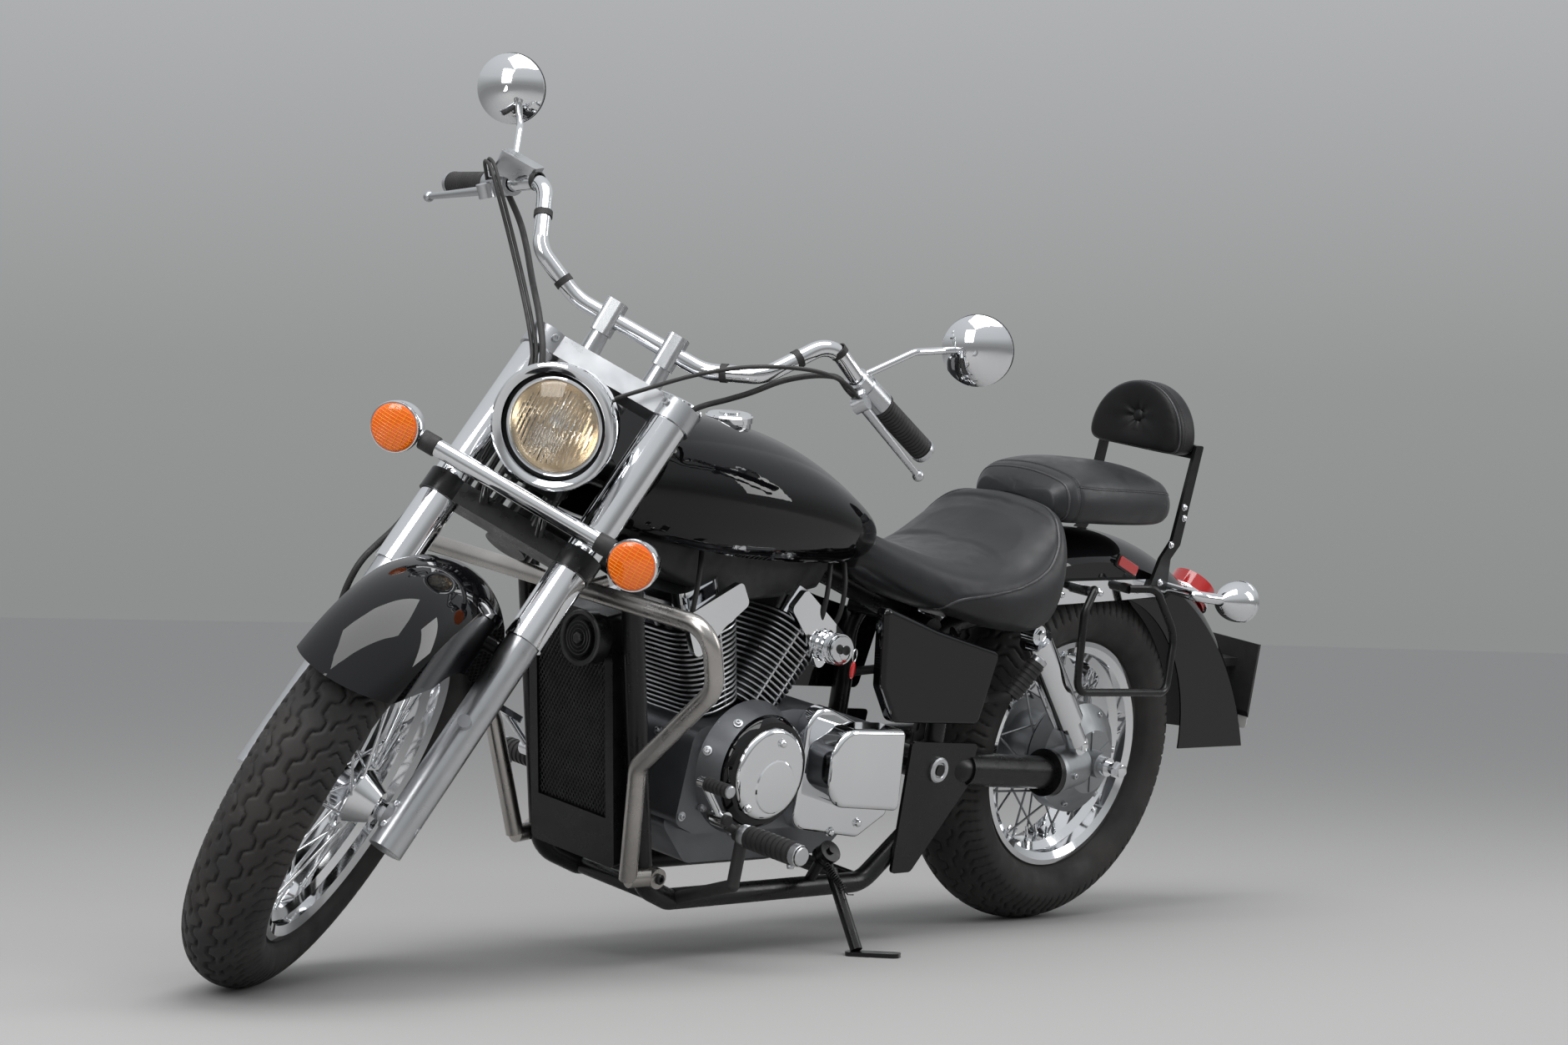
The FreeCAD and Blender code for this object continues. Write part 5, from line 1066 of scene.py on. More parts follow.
def make_back_rest():
    made = bmesh.new()
    side_start = PAD_BACK_X + 4
    side_long = PAD_FRONT_X - 14 - PAD_BACK_X - 4
    layers = [(PAD_BACK_X, share) for share in (0.05, 0.35, 0.65, 0.88)]
    layers += [(PAD_BACK_X + 1, 0.95), (side_start, 0.985)]
    layers += [(side_start + side_long * i / 6, 1.0) for i in range(1, 7)]
    layers += [(PAD_FRONT_X - in_from, share) for in_from, share in (
        (9, 0.995), (5, 0.975), (2, 0.94), (0.5, 0.89),
    )]
    layers += [(PAD_FRONT_X, share) for share in PAD_SHARES]
    rows = [[made.verts.new((x, y, z)) for y, z in pad_outline(share)] for x, share in layers]
    bridged(made, rows)
    for row in (rows[0], rows[-1]):
        fanned(made, row, (row[0].co.x, 0, BUTTON_Z))
    bmesh.ops.recalc_face_normals(made, faces=made.faces)
    button_at = Vector((PAD_FRONT_X, 0, BUTTON_Z))
    edge = [Vector((PAD_FRONT_X - 7, y, z)) for y, z in pad_outline(0.99)]
    held = [v.index for v in made.verts if v.co.x < PAD_FRONT_X - 16
            or (v.co - button_at).length < 12 or min((v.co - p).length for p in edge[::3]) < 7]
    for v in made.verts:
        far = hypot(v.co.y, v.co.z - BUTTON_Z)
        if v.co.x > PAD_FRONT_X - 3:
            v.co.x += 3.0 * (1 - far / 110) - 15.0 / (1 + (far / 15) ** 2)
            turn = atan2(v.co.z - BUTTON_Z, v.co.y)
            v.co.x += 1.3 * sin(turn * 7) / (1 + (far / 26) ** 4) * min(1.0, far / 10)
    mesh = subdivided(swollen(made, "chassis", held, 5.0))
    kept_within(mesh, "chassis", "back_rest", ["sissy_bar", "pillion_seat"], 5.0)
    laid, surface = sewn_in(mesh, "chassis", [edge + edge[:1]], 6.0, 1.6)
    dressed(mesh, "back_rest_cover", "chassis", (SHADED_SIDE_LEATHER,), "back_rest")
    piping = wires("back_rest_piping", [laid[0][:-1]], 1.9, "chassis", WELT, sides=10, closed=True)
    band = [back_of_band(p) for p in edge[2:56]]
    stitches("back_rest_stitches", [band], surface, "chassis", 5.0, 3.4)
    button = turned("back_rest_button", "chassis", SHADED_SIDE_LEATHER, 60.0, [
        ([(-3, 0), (-3, 11), (0, 12.5), (3, 11.5), (5.5, 7), (6.5, 0)],
         (PAD_FRONT_X - 10, 0, BUTTON_Z), (1, 0, 0), 32),
    ])


make_rider_seat()
make_pillion_seat()
make_back_rest()


# Headlamp glass and reflector
# A fluted glass is held by a bright inner ring in the chrome bowl, with a gap round it that a black ring at
# its back fills with painted shade.
# Behind it a silvered bowl holds the bulb under a small hood; its colour is painted warm, a painted
# reflection of the light of the ground.
LAMP_FRONT = fork_point(572.0, 135.0)
GLASS_R = 67.0
GLASS_CROWN = 15.0
GLASS_THICK = 3.5
FLUTE_PITCH = 6.8
FLUTE_DEEP = 2.2
FINE_SHARE = 0.62
LAMP_GLASS = bpy.data.materials.new("lamp_glass")
LAMP_GLASS.use_nodes = True
glass = LAMP_GLASS.node_tree.nodes["Principled BSDF"]
glass.inputs["Base Color"].default_value = (0.97, 0.97, 0.95, 1)
glass.inputs["Roughness"].default_value = 0.02
glass.inputs["IOR"].default_value = 1.46
glass.inputs["Transmission Weight"].default_value = 1.0
# The silvering's warm colour is a painted reflection of the ground's light, not the colour of the metal.
PAINTED_WARM_SILVERING = finish("reflector_silvering_painted_warm", (0.92, 0.78, 0.60), (0.95, 0.90, 0.82), metal=1.0,
                   rough=(0.12, 0.24), scale=24.0, bump=0.2, bump_scale=30.0)


def flute(y, z):
    """The back of the glass: upright flutes over most of it, finer ones in a patch below the middle."""
    pitch = FLUTE_PITCH * (FINE_SHARE if abs(y) < 26 and -34 < z < -6 else 1.0)
    edge = min(1.0, max(0.0, (GLASS_R - 7 - hypot(y, z)) / 4))
    return FLUTE_DEEP * edge * abs(sin(pi * y / pitch))


def headlamp_glass(made):
    """A crowned pane of rings: smooth in front, fluted behind, and joined round its edge."""
    around, rings = 168, 44
    front, back = [], []
    for k in range(1, rings + 1):
        r = GLASS_R * k / rings
        lie = GLASS_CROWN * (1 - (r / GLASS_R) ** 2) - GLASS_CROWN
        row = [(r * cos(2 * pi * i / around), r * sin(2 * pi * i / around)) for i in range(around)]
        front.append([made.verts.new(LAMP_FRONT + Vector((lie, y, z))) for y, z in row])
        back.append([made.verts.new(LAMP_FRONT + Vector((lie - GLASS_THICK - flute(y, z), y, z)))
                     for y, z in row])
    for side, tip in ((front, 0.0), (back, -GLASS_THICK)):
        fanned(made, side[0], LAMP_FRONT + Vector((tip, 0, 0)))
        for low, high in zip(side, side[1:]):
            for i in range(around):
                j = (i + 1) % around
                made.faces.new((low[i], high[i], high[j], low[j]))
    for i in range(around):
        j = (i + 1) % around
        made.faces.new((front[-1][i], back[-1][i], back[-1][j], front[-1][j]))
    bmesh.ops.recalc_face_normals(made, faces=made.faces)


piece = placed(headlamp_glass, "headlamp_glass", "steering", LAMP_GLASS, 30.0)
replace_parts(piece, "headlamp_lens")
TURNED_LAMP_PARTS = (
    ("headlamp_reflector", PAINTED_WARM_SILVERING, "headlamp_lens", [
        (-19, 66), (-25, 62), (-36, 54), (-49, 44), (-60, 33), (-69, 22), (-75, 12), (-77, 0),
        (-79, 0), (-77, 14), (-71, 25), (-62, 36), (-51, 47), (-38, 57), (-27, 65), (-19, 69),
    ]),
    ("headlamp_hood", CHROME, "headlamp", [
        (-77, 0), (-77, 9), (-58, 8), (-46, 11), (-40, 10), (-36, 6), (-35, 0),
    ]),
    ("headlamp_bowl", CHROME, "headlamp", [
        (-30, 77.4), (-12, 78), (-12, 91), (-24, 92), (-28, 90.5), (-45, 88.4), (-62, 84), (-78, 77),
        (-94, 67.5), (-110, 55), (-123, 42), (-131, 31), (-135, 20), (-135, 0), (-130, 0), (-128, 20),
        (-118, 40), (-100, 58), (-80, 70), (-50, 76),
    ]),
    ("headlamp_inner_ring", CHROME, "headlamp", [
        (-26, 66.2), (-26, 73.5), (-15, 73.5), (-12, 72.4), (-10.8, 70), (-11.4, 67.6), (-14, 66.2),
    ]),
    # A black ring at the back of the gap: a dark piece put there as painted shade, so the gap reads deep.
    ("headlamp_gap", BLACK_RUBBER, "headlamp", [
        (-27.6, 66.4), (-27.6, 77.6), (-22, 77.6), (-24, 73.8), (-24, 66.4),
    ]),
    ("headlamp_bezel", CHROME, "headlamp", [
        (-20, 92.3), (-6, 94), (-1, 92.6), (0.8, 89.4), (0.2, 85), (-4, 79.2), (-9, 77.7),
        (-12, 77.7), (-12, 80),
    ]),
)
for name, material, slot, outline in TURNED_LAMP_PARTS:
    whole = outline + ([] if outline[0][1] == 0 or outline[-1][1] == 0 else outline[:1])
    piece = turned(name, "steering", material, 34.0, [(whole, LAMP_FRONT, (1, 0, 0), 96)])
    if name == "headlamp_bowl":
        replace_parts(piece, "headlamp")


# Direction signals
# Moulded amber lenses, crowned and ruled inside with a grid of fine prisms, in chrome bells. The
# prisms are given a brighter amber than the lens, a painted glint. On the light bar, a black rubber
# sleeve seals each stalk.
SIGNAL_LENS_R = 35.5
PRISM_PITCH = 5.0
# A brighter copy of the lens amber for the prisms: painted glint where light catches them.
AMBER_PRISM_GLINT = finish("amber_prisms_painted_glint", (0.96, 0.26, 0.01), (1.0, 0.34, 0.015), rough=(0.10, 0.18),
                     scale=30.0)
LIGHT_BAR = fork_point(476.6, 80.2)
FRONT_SIGNAL = LIGHT_BAR + Vector((16.3, 201, 0))
REAR_SIGNAL = Vector((-278.3, 186, 628))
SIGNAL_RIM = [
    (-5, 36.6), (-4, 38.2), (2, 38.4), (4.5, 37.4), (4.8, 35.7), (-5, 35.7), (-5, 36.6),
]
SLEEVE = [
    (136, 13.2), (136, 14.6), (137.5, 15.2), (160.5, 15.2), (162, 14.6), (162, 12.2), (136, 13.2),
]


def lens_crown(r):
    """How far the lens stands out, that far from its middle."""
    return 6.0 + 6.5 * (1 - (r / SIGNAL_LENS_R) ** 2)


def prism_lines(centre, way):
    """The grid on both lenses: every line one way, and every second one the other way."""
    lines = []
    for side in (1, -1):
        for n in range(-6, 7):
            across = n * PRISM_PITCH
            reach = sqrt((SIGNAL_LENS_R - 2.5) ** 2 - across ** 2)
            steps = [reach * (2 * i / 10 - 1) for i in range(11)]
            rows = [[(t, across) for t in steps]]
            if n % 2 == 0:
                rows.append([(across, t) for t in steps])
            lines += [[(centre.x + way * (lens_crown(hypot(y, z)) + 0.1), side * centre.y + y, centre.z + z)
                       for y, z in row] for row in rows]
    return lines


SIGNAL_LENS = [(0, 0), (0, SIGNAL_LENS_R), (4.6, SIGNAL_LENS_R), (6.0, SIGNAL_LENS_R - 1.2)]
SIGNAL_LENS += [(lens_crown(r), r) for r in (31, 27, 22, 16, 10, 5)] + [(12.5, 0)]
for name, body, centre, way in (
    ("front_signal", "steering", FRONT_SIGNAL, 1), ("rear_signal", "chassis", REAR_SIGNAL, -1),
):
    pair = [mirrored(centre, side) for side in (1, -1)]
    piece = turned(name + "_glass", body, AMBER, 40.0, [(SIGNAL_LENS, at, (way, 0, 0), 48) for at in pair])
    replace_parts(piece, name + "_lenses")
    prisms = wires(name + "_prisms", prism_lines(centre, way), 0.55, body, AMBER_PRISM_GLINT, sides=5)
    rims = turned(name + "_rims", body, CHROME, 40.0, [(SIGNAL_RIM, at, (way, 0, 0), 48) for at in pair])
sleeves = turned("light_bar_sleeves", "steering", BLACK_RUBBER, 40.0, [
    (SLEEVE, LIGHT_BAR, (0, side, 0), 40) for side in (1, -1)
])


# Cylinders
# Painted iron barrels. The rims of the fins are machined bright, and short cast links between the
# fins stop them from ringing.
CRANK = Vector((888, 0, 337))
FINS = 17
FIN_PITCH = 9.2
FIN_LONG, FIN_LONG_TAPER = 132.0, 26.0
FIN_WIDE, FIN_WIDE_TAPER = 178.0, 22.0
FIN_CORNER = 44.0
BARREL_START = 92.0
FRONT_TILT, REAR_TILT = 22.0, -30.0
RIM_STEP = 9.0
FIN_NEAR = 1.0
FIN_EDGE = finish("machined_fin_edge", (0.62, 0.63, 0.64), (0.48, 0.49, 0.50), metal=0.9,
                  rough=(0.26, 0.4), scale=80.0)


def up_barrel(tilt, along, across, distance):
    """A drawing point beside a barrel: ahead of its middle plane, to the left, and that far up."""
    t = radians(tilt)
    return CRANK + Vector((distance * sin(t) + along * cos(t), across, distance * cos(t) - along * sin(t)))


def rounded_oblong(half_a, half_b, corner, steps, inset=0.0):
    """Points round an oblong with rounded corners, whose edge may be drawn in a little."""
    line = []
    for side_a, side_b, start in ((1, 1, 0), (-1, 1, 90), (-1, -1, 180), (1, -1, 270)):
        for i in range(steps + 1):
            turn = radians(start + 90 * i / steps)
            line.append((side_a * (half_a - corner) + (corner - inset) * cos(turn),
                         side_b * (half_b - corner) + (corner - inset) * sin(turn)))
    return line


def fin_half_wide(share):
    return (FIN_WIDE - FIN_WIDE_TAPER * (1 - share)) / 2


def fin_outline(share):
    """One fin from above; the share runs from the small lowest fin to the full top one."""
    long, wide = (FIN_LONG - FIN_LONG_TAPER * (1 - share)) / 2, fin_half_wide(share)
    corners = rounded_oblong(long, wide, FIN_CORNER, 7)
    line = []
    for n, middle in enumerate(((0, wide), (-long, 0), (0, -wide), (long, 0))):
        line += corners[8 * n:8 * n + 8] + [middle]
    return line


def bright_rims():
    """Every fin's outline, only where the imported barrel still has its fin."""
    runs = []
    for tilt in (FRONT_TILT, REAR_TILT):
        for i in range(FINS):
            loop = fin_outline(i / (FINS - 1))
            fine = []
            for (ax, ay), (bx, by) in zip(loop, loop[1:] + loop[:1]):
                steps = max(1, int(hypot(bx - ax, by - ay) / RIM_STEP))
                fine += [(ax + (bx - ax) * k / steps, ay + (by - ay) * k / steps) for k in range(steps)]
            up = BARREL_START + (i + 0.5) * FIN_PITCH
            run = []
            for x, y in fine + fine[:1]:
                p = up_barrel(tilt, x, y, up)
                if (nearest_on("cylinders", p)[0] - p).length < FIN_NEAR:
                    run.append(p)
                else:
                    runs.append(run)
                    run = []
            runs.append(run)
    return [run for run in runs if len(run) > 2]


def fin_links(made):
    """Upright bars across the fins, on both sides of each barrel."""
    for tilt, places in ((FRONT_TILT, (-6,)), (REAR_TILT, (20, -20))):
        for along in places:
            for side in (1, -1):
                corners = []
                for share, height in ((0.0, 4), (1.0, (FINS - 0.6) * FIN_PITCH)):
                    face = side * (fin_half_wide(share) - 0.6)
                    for dx, dy in ((-1.9, 0), (1.9, 0), (1.9, -side * 8), (-1.9, -side * 8)):
                        corner = up_barrel(tilt, along + dx, face + dy, BARREL_START + height)
                        corners.append(made.verts.new(corner))
                made.faces.new(corners[:4])
                made.faces.new(corners[4:])
                bridged(made, [corners[:4], corners[4:]])
    bmesh.ops.recalc_face_normals(made, faces=made.faces)


wires("fin_rims", bright_rims(), 1.75, "chassis", FIN_EDGE, sides=6)
placed(fin_links, "fin_links", "chassis", FIN_EDGE)


# Engine covers and their bolts
# Chrome caps and grey castings held by bright socket bolts. The round cap sits in a black ring and
# has a raised disc, and two of its bolts are sunk in its edge. Black plug wires rise from the heads.
CASE_BOLT = shape_of("case_bolt", [
    (-3.0, 0), (-3.0, 1.9), (0.45, 1.65), (0.5, 1.0), (1.1, 1.0), (1.25, 0.85), (1.25, 0.5),
    (0.7, 0.5), (0.7, 0),
], 16)
TO_LEFT, TO_RIGHT = Vector((0, 1, 0)), Vector((0, -1, 0))
RIGHT_COVERS = ((888, 337, 97), (740, 318, 84))
CAP_CENTRE = Vector((888, 0, 339))
DISC_CENTRE = Vector((878, 0, 319))
case_spots = [nearest_on("engine_block", p) for p in (
    (944, 133, 413), (986, 118, 368), (972, 112, 276), (905, 118, 228), (1012, 104, 262),
    (1013, -80, 380), (1013, 30, 380), (960, 108, 404), (930, 108, 409),
)]
for turn in range(8):
    a = radians(45 * turn + 22)
    for x, z, r in RIGHT_COVERS:
        case_spots.append(struck("engine_block", (x + r * cos(a), -300, z + r * sin(a)), TO_LEFT))
set_out("case_bolts", CASE_BOLT, case_spots, "chassis", SATIN_ALUMINIUM, 4.6)
ring = turned("cap_ring", "chassis", GLOSS_BLACK, 34.0, [
    ([(146, 74.5), (146, 91), (149, 91), (156, 87), (161, 82), (162, 74.5), (146, 74.5)],
     CAP_CENTRE, TO_LEFT, 72),
])
disc = turned("cap_disc", "chassis", CHROME, 30.0, [
    ([(169.6, 0), (169.6, 43), (170.4, 43), (172.2, 41), (172.8, 37), (172.8, 0)],
     DISC_CENTRE, TO_LEFT, 64),
])
cap_spots = [(Vector((877, 170, 389)), TO_LEFT), (Vector((932, 169, 287)), TO_LEFT)]
cap_spots += [struck("left_engine_covers", (x, 300, z), TO_RIGHT)
              for x, z in ((628, 240), (576, 372), (690, 228))]
set_out("cover_bolts", DOME_NUT, cap_spots, "chassis", CHROME, 6.2)
plug_wires = [smooth_path(p, 6) for p in (
    [(742, 84, 560), (748, 96, 585), (742, 92, 625), (722, 70, 668)],
    [(706, 78, 548), (704, 92, 580), (700, 90, 625), (690, 70, 664)],
    [(1030, 78, 560), (1040, 92, 590), (1030, 84, 640), (1010, 60, 690)],
)]
wires("plug_wires", plug_wires, 4.2, "chassis", BLACK_RUBBER, sides=10)


# Foot pegs and gear lever
# Ribbed rubber over a steel core, with a bright end. The forward peg has a feeler bolt under its
# tip, and the gear lever a ribbed rubber toe piece.
RIDER_PEG = Vector((990, 0, 262))
PILLION_PEG = Vector((300, 150, 452))
PILLION_PEG_TIP = Vector((262, 168, 520))
TOE_PIECE = Vector((1101, 0, 350))


def ribbed(made, centre, axis, start, end, low, high, ribs, around=36):
    """A rubber sleeve along an axis, with rings standing up from it."""
    step = (end - start) / ribs
    outline = [(start, 0), (start, high)]
    for i in range(ribs):
        at = start + i * step
        outline += [(at + share * step, r) for share, r in (
            (0.06, high), (0.60, high), (0.68, low), (0.94, low),
        )]
    outline += [(end, low), (end, 0)]
    lathe(made, outline, centre, axis, around)


def peg_parts(rubber, metal, side):
    """Both pegs of one side: rubber, end, feeler bolt and collar, then the folded one's."""
    y = Vector((0, side, 0))
    ribbed(rubber, RIDER_PEG, y, 238, 334, 16.3, 18.4, 9)
    lathe(metal, [(334, 0), (334, 17.2), (345, 17.2), (350, 13.6), (350, 0)], RIDER_PEG, y, 12)
    lathe(metal, [(-24, 0), (-24, 5.4), (-19, 6.4), (-15, 4.5), (-14, 0)],
          RIDER_PEG + y * 327, (0.12, 0, 1), 20)
    lathe(metal, [(224, 13.1), (224, 17), (231, 17.4), (237, 15.6), (237, 13.1), (224, 13.1)],
          RIDER_PEG, y, 36)
    foot = mirrored(PILLION_PEG, side)
    fold = (mirrored(PILLION_PEG_TIP, side) - foot).normalized()
    ribbed(rubber, foot, fold, 8, 72, 14.2, 15.8, 7)
    lathe(metal, [(72, 0), (72, 14.6), (79, 14.6), (82, 11), (82, 0)], foot, fold, 24)


peg_rubber, peg_metal = bmesh.new(), bmesh.new()
for side in (1, -1):
    peg_parts(peg_rubber, peg_metal, side)
ribbed(peg_rubber, TOE_PIECE, TO_LEFT, 238, 285, 9.2, 10.8, 6, 28)
lathe(peg_metal, [(285, 0), (285, 9.6), (288, 9.6), (289.5, 7.5), (289.5, 0)], TOE_PIECE, TO_LEFT, 28)
placed_bmesh(peg_rubber, "peg_rubbers", "chassis", BLACK_RUBBER, 40.0)
placed_bmesh(peg_metal, "peg_ends", "chassis", SATIN_ALUMINIUM, 30.0)


# Grips
# Moulded rubber with rings, on the ends of the bar, each stopped by a bright weight.
def from_bars(x, y, z):
    """A drawing point given from the middle of the bar, between its clamps."""
    return Vector((1225.1 + x, y, 939.2 + z))


BAR_INNER = from_bars(-139, 312, 139)
BAR_OUTER = from_bars(-259, 428, 69)
grip_rubber, grip_metal = bmesh.new(), bmesh.new()
for side in (1, -1):
    outer = mirrored(BAR_OUTER, side)
    along = (outer - mirrored(BAR_INNER, side)).normalized()
    ribbed(grip_rubber, outer, along, -112, 0, 17.2, 18.6, 16)
    lathe(grip_rubber, [
        (-121, 17.1), (-121, 21), (-117, 21.4), (-113, 18.6), (-112, 17.1), (-121, 17.1),
    ], outer, along, 36)
    lathe(grip_metal, [
        (0, 0), (0, 19.4), (4, 19.8), (11, 18.6), (13, 15), (13, 8), (11.5, 6), (11.5, 0),
    ], outer, along, 36)
placed_bmesh(grip_rubber, "grip_rings", "steering", BLACK_RUBBER, 40.0)
placed_bmesh(grip_metal, "grip_ends", "steering", SATIN_ALUMINIUM, 34.0)


# Radiator and horn
# A black core behind a guard of diamond mesh, with a round horn on its upper corner.
RADIATOR_LOW = Vector((1102, 0, 186))
RADIATOR_TOP = Vector((1186, 0, 578))
RADIATOR_UP = (RADIATOR_TOP - RADIATOR_LOW).normalized()
RADIATOR_OUT = Vector((RADIATOR_UP.z, 0, -RADIATOR_UP.x))
MESH_HALF = 78.0
MESH_LOW, MESH_HIGH = 79.0, 368.0
MESH_PITCH = 11.5
MESH_SLOPE = 1.5
MESH_AHEAD = 20.5
MESH_APART = 0.6
HORN_AT = Vector((1206, 58, 534))
GUARD_MESH = finish("guard_mesh", (0.045, 0.045, 0.046), (0.08, 0.08, 0.08), metal=0.5,
                    rough=(0.35, 0.5), scale=90.0)


def mesh_guard():
    """Two sets of slanted wires that cross, each wire cut off at the foot and top of the guard."""
    lines = []
    rise = 2 * MESH_HALF * MESH_SLOPE
    count = int((MESH_HIGH - MESH_LOW + rise) / MESH_PITCH)
    for way in (1, -1):
        ahead = RADIATOR_OUT * (MESH_AHEAD + MESH_APART * way)
        for n in range(count):
            start = MESH_LOW - rise + n * MESH_PITCH + (MESH_PITCH / 2 if way < 0 else 0)
            a = max(0.0, (MESH_LOW - start) / MESH_SLOPE)
            b = min(2 * MESH_HALF, (MESH_HIGH - start) / MESH_SLOPE)
            if b - a < 2:
                continue
            lines.append([RADIATOR_LOW + RADIATOR_UP * (start + MESH_SLOPE * t) + ahead
                          + Vector((0, way * (t - MESH_HALF), 0)) for t in (a, b)])
    return lines


wires("radiator_mesh", mesh_guard(), 1.0, "chassis", GUARD_MESH, sides=4)
horn_parts = [
    ([(25, 34), (25, 41.5), (28, 42.5), (31, 41), (31, 36), (28, 34), (25, 34)], HORN_AT, (1, 0, 0), 56),
    ([(31.5, 0), (31.5, 9), (35, 9), (37, 6), (37, 0)], HORN_AT, (1, 0, 0), 6),
]
horn_parts += [([(31.6, r - 1.2), (33.2, r), (31.6, r + 1.2), (31.6, r - 1.2)], HORN_AT, (1, 0, 0), 48)
               for r in (14, 20, 25)]
turned("horn_face", "chassis", GUARD_MESH, 34.0, horn_parts)


# Key, ring and fob
# The key stands in the ignition lock with a steel ring through its head and a red fob below.
UP = Vector((0, 0, 1))
LOCK_AT = Vector((700, 44, 518))
LOCK_OUT = Vector((0.24, 0.95, 0.12)).normalized()
LOCK_END = LOCK_AT + LOCK_OUT * 86
KEY_END = LOCK_END + LOCK_OUT * 17
RING_TURNS = [2 * pi * i / 28 for i in range(28)]
FOB_RED = finish("fob_red", (0.62, 0.010, 0.012), (0.50, 0.008, 0.010), rough=(0.2, 0.32),
                 coat=0.6, scale=60.0)


def oval_plate(made, centre, across, up, half_across, half_up, half_thick):
    """A flat oval with rounded edges."""
    out = across.cross(up).normalized()
    rows = []
    for depth, share in ((-1, 0.78), (-0.5, 0.96), (0, 1.0), (0.5, 0.96), (1, 0.78)):
        rows.append([made.verts.new(centre + out * depth * half_thick
                                    + across * cos(t) * half_across * share
                                    + up * sin(t) * half_up * share) for t in RING_TURNS])
    bridged(made, rows)
    made.faces.new(rows[0])
    made.faces.new(rows[-1])
    bmesh.ops.recalc_face_normals(made, faces=made.faces)


key_head = bmesh.new()
oval_plate(key_head, LOCK_END + LOCK_OUT * 9, LOCK_OUT, UP, 11, 8, 1.8)
placed_bmesh(key_head, "key_head", "chassis", BLACK_PLASTIC, 50.0)
ring_centre = KEY_END - Vector((13, -2, 7))
ring_line = [ring_centre + Vector((7.5 * cos(t), 2.5 * cos(t), 10.5 * sin(t))) for t in RING_TURNS]
key_ring = wires("key_ring", [ring_line], 0.9, "chassis", CHROME, sides=6, closed=True)
fob = bmesh.new()
oval_plate(fob, ring_centre - UP * 24, Vector((0.95, 0.3, 0)), UP, 7.5, 15, 2.4)
placed_bmesh(fob, "key_fob", "chassis", FOB_RED, 50.0)
lock_rings = turned("lock_rings", "chassis", CHROME, 40.0, [
    ([(at, r - 2), (at, r), (at + 2, r + 0.8), (at + 4, r), (at + 4, r - 2), (at, r - 2)],
     LOCK_AT, LOCK_OUT, 40) for at, r in ((52, 25.2), (64, 25.6), (74, 25.0), (80, 21.4))
])


# Under the tank
# A moulded black duct fills the room between the frame tubes, the heads and the tank, and carries
# the intake air and the wires.
DUCT_CORNER = 12.0
DUCT_SECTIONS = (
    (1120, 668, 694, 34), (1085, 640, 690, 50), (1000, 606, 682, 56), (905, 590, 676, 58),
    (800, 598, 672, 56), (720, 612, 676, 50), (690, 640, 676, 40),
)


def duct(made):
    """Oblong sections at a place along the bike, from a foot to a top, with half a width."""
    rows = []
    for x, low, high, half in DUCT_SECTIONS:
        line = rounded_oblong(half, (high - low) / 2, DUCT_CORNER, 4)
        rows.append([made.verts.new((x, y, (low + high) / 2 + z)) for y, z in line])
    bridged(made, rows)
    made.faces.new(rows[0])
    made.faces.new(rows[-1])
    bmesh.ops.recalc_face_normals(made, faces=made.faces)


placed(duct, "intake_duct", "chassis", BLACK_PLASTIC, 50.0)


# Bolts of the front end
# Socket bolts clamp the top bridge and the fork's feet, a cap covers each end of the axle, and
# rubber bands hold the cables to the bar.
FORK_AHEAD = Vector((cos(RAKE), 0, sin(RAKE)))
BAR_LINE = ((-37, 112, 58), (-35, 196, 97), (-103, 252, 179), (-139, 312, 139))
bridge_spots, foot_spots, fork_spots = [], [], []
for side in (1, -1):
    bridge_spots.append(struck("top_bridge", fork_point(729, 120, side * 97), -FORK_AHEAD))
    foot_spots.append(struck("front_axle", (WHEELBASE, side * 200, FRONT_RADIUS), (0, -side, 0)))
    for up in (-18, 16):
        fork_spots.append(struck("fork_sliders", fork_point(up, 90, side * 96), -FORK_AHEAD))
set_out("bridge_bolts", SOCKET_BOLT, bridge_spots, "steering", SATIN_ALUMINIUM, 6.0)
set_out("fork_foot_bolts", SOCKET_BOLT, fork_spots, "steering", CHROME, 5.0)
AXLE_CAP = shape_of("axle_cap", [(-3, 0), (-3, 15), (3, 15), (5, 12.5), (5, 8), (2, 7), (2, 0)], 12)
set_out("front_axle_caps", AXLE_CAP, foot_spots, "steering", CHROME)
bands = []
for side in (1, -1):
    line = [mirrored(from_bars(*p), side) for p in BAR_LINE]
    for start, end, share in zip(line, line[1:], (0.35, 0.5, 0.25)):
        bands.append(([(-5, 12.9), (-5, 14.4), (5, 14.4), (5, 12.9), (-5, 12.9)],
                      start.lerp(end, share), end - start, 32))
turned("cable_bands", "steering", BLACK_RUBBER, 40.0, bands)


# Mirrors
# Flat silvered glass in the chrome shells, facing the rider.
MIRROR_PAIR = [mirrored(from_bars(-307, 428, 237), side) for side in (1, -1)]
MIRROR_GLASS = finish("mirror_glass", (0.86, 0.88, 0.90), (0.84, 0.86, 0.88), metal=1.0,
                      rough=(0.01, 0.03), scale=8.0)
mirror_glass = turned("mirror_faces", "steering", MIRROR_GLASS, 30.0, [
    ([(7.9, 0), (7.9, 52), (8.8, 51.5), (8.8, 0)], at, (-1, 0, 0), 72) for at in MIRROR_PAIR
])
mirror_rims = turned("mirror_rims", "steering", BLACK_PLASTIC, 40.0, [
    ([(6, 52), (6, 56.3), (8.6, 56.6), (10, 55), (9.6, 52.4), (6, 52)], at, (-1, 0, 0), 72)
    for at in MIRROR_PAIR
])


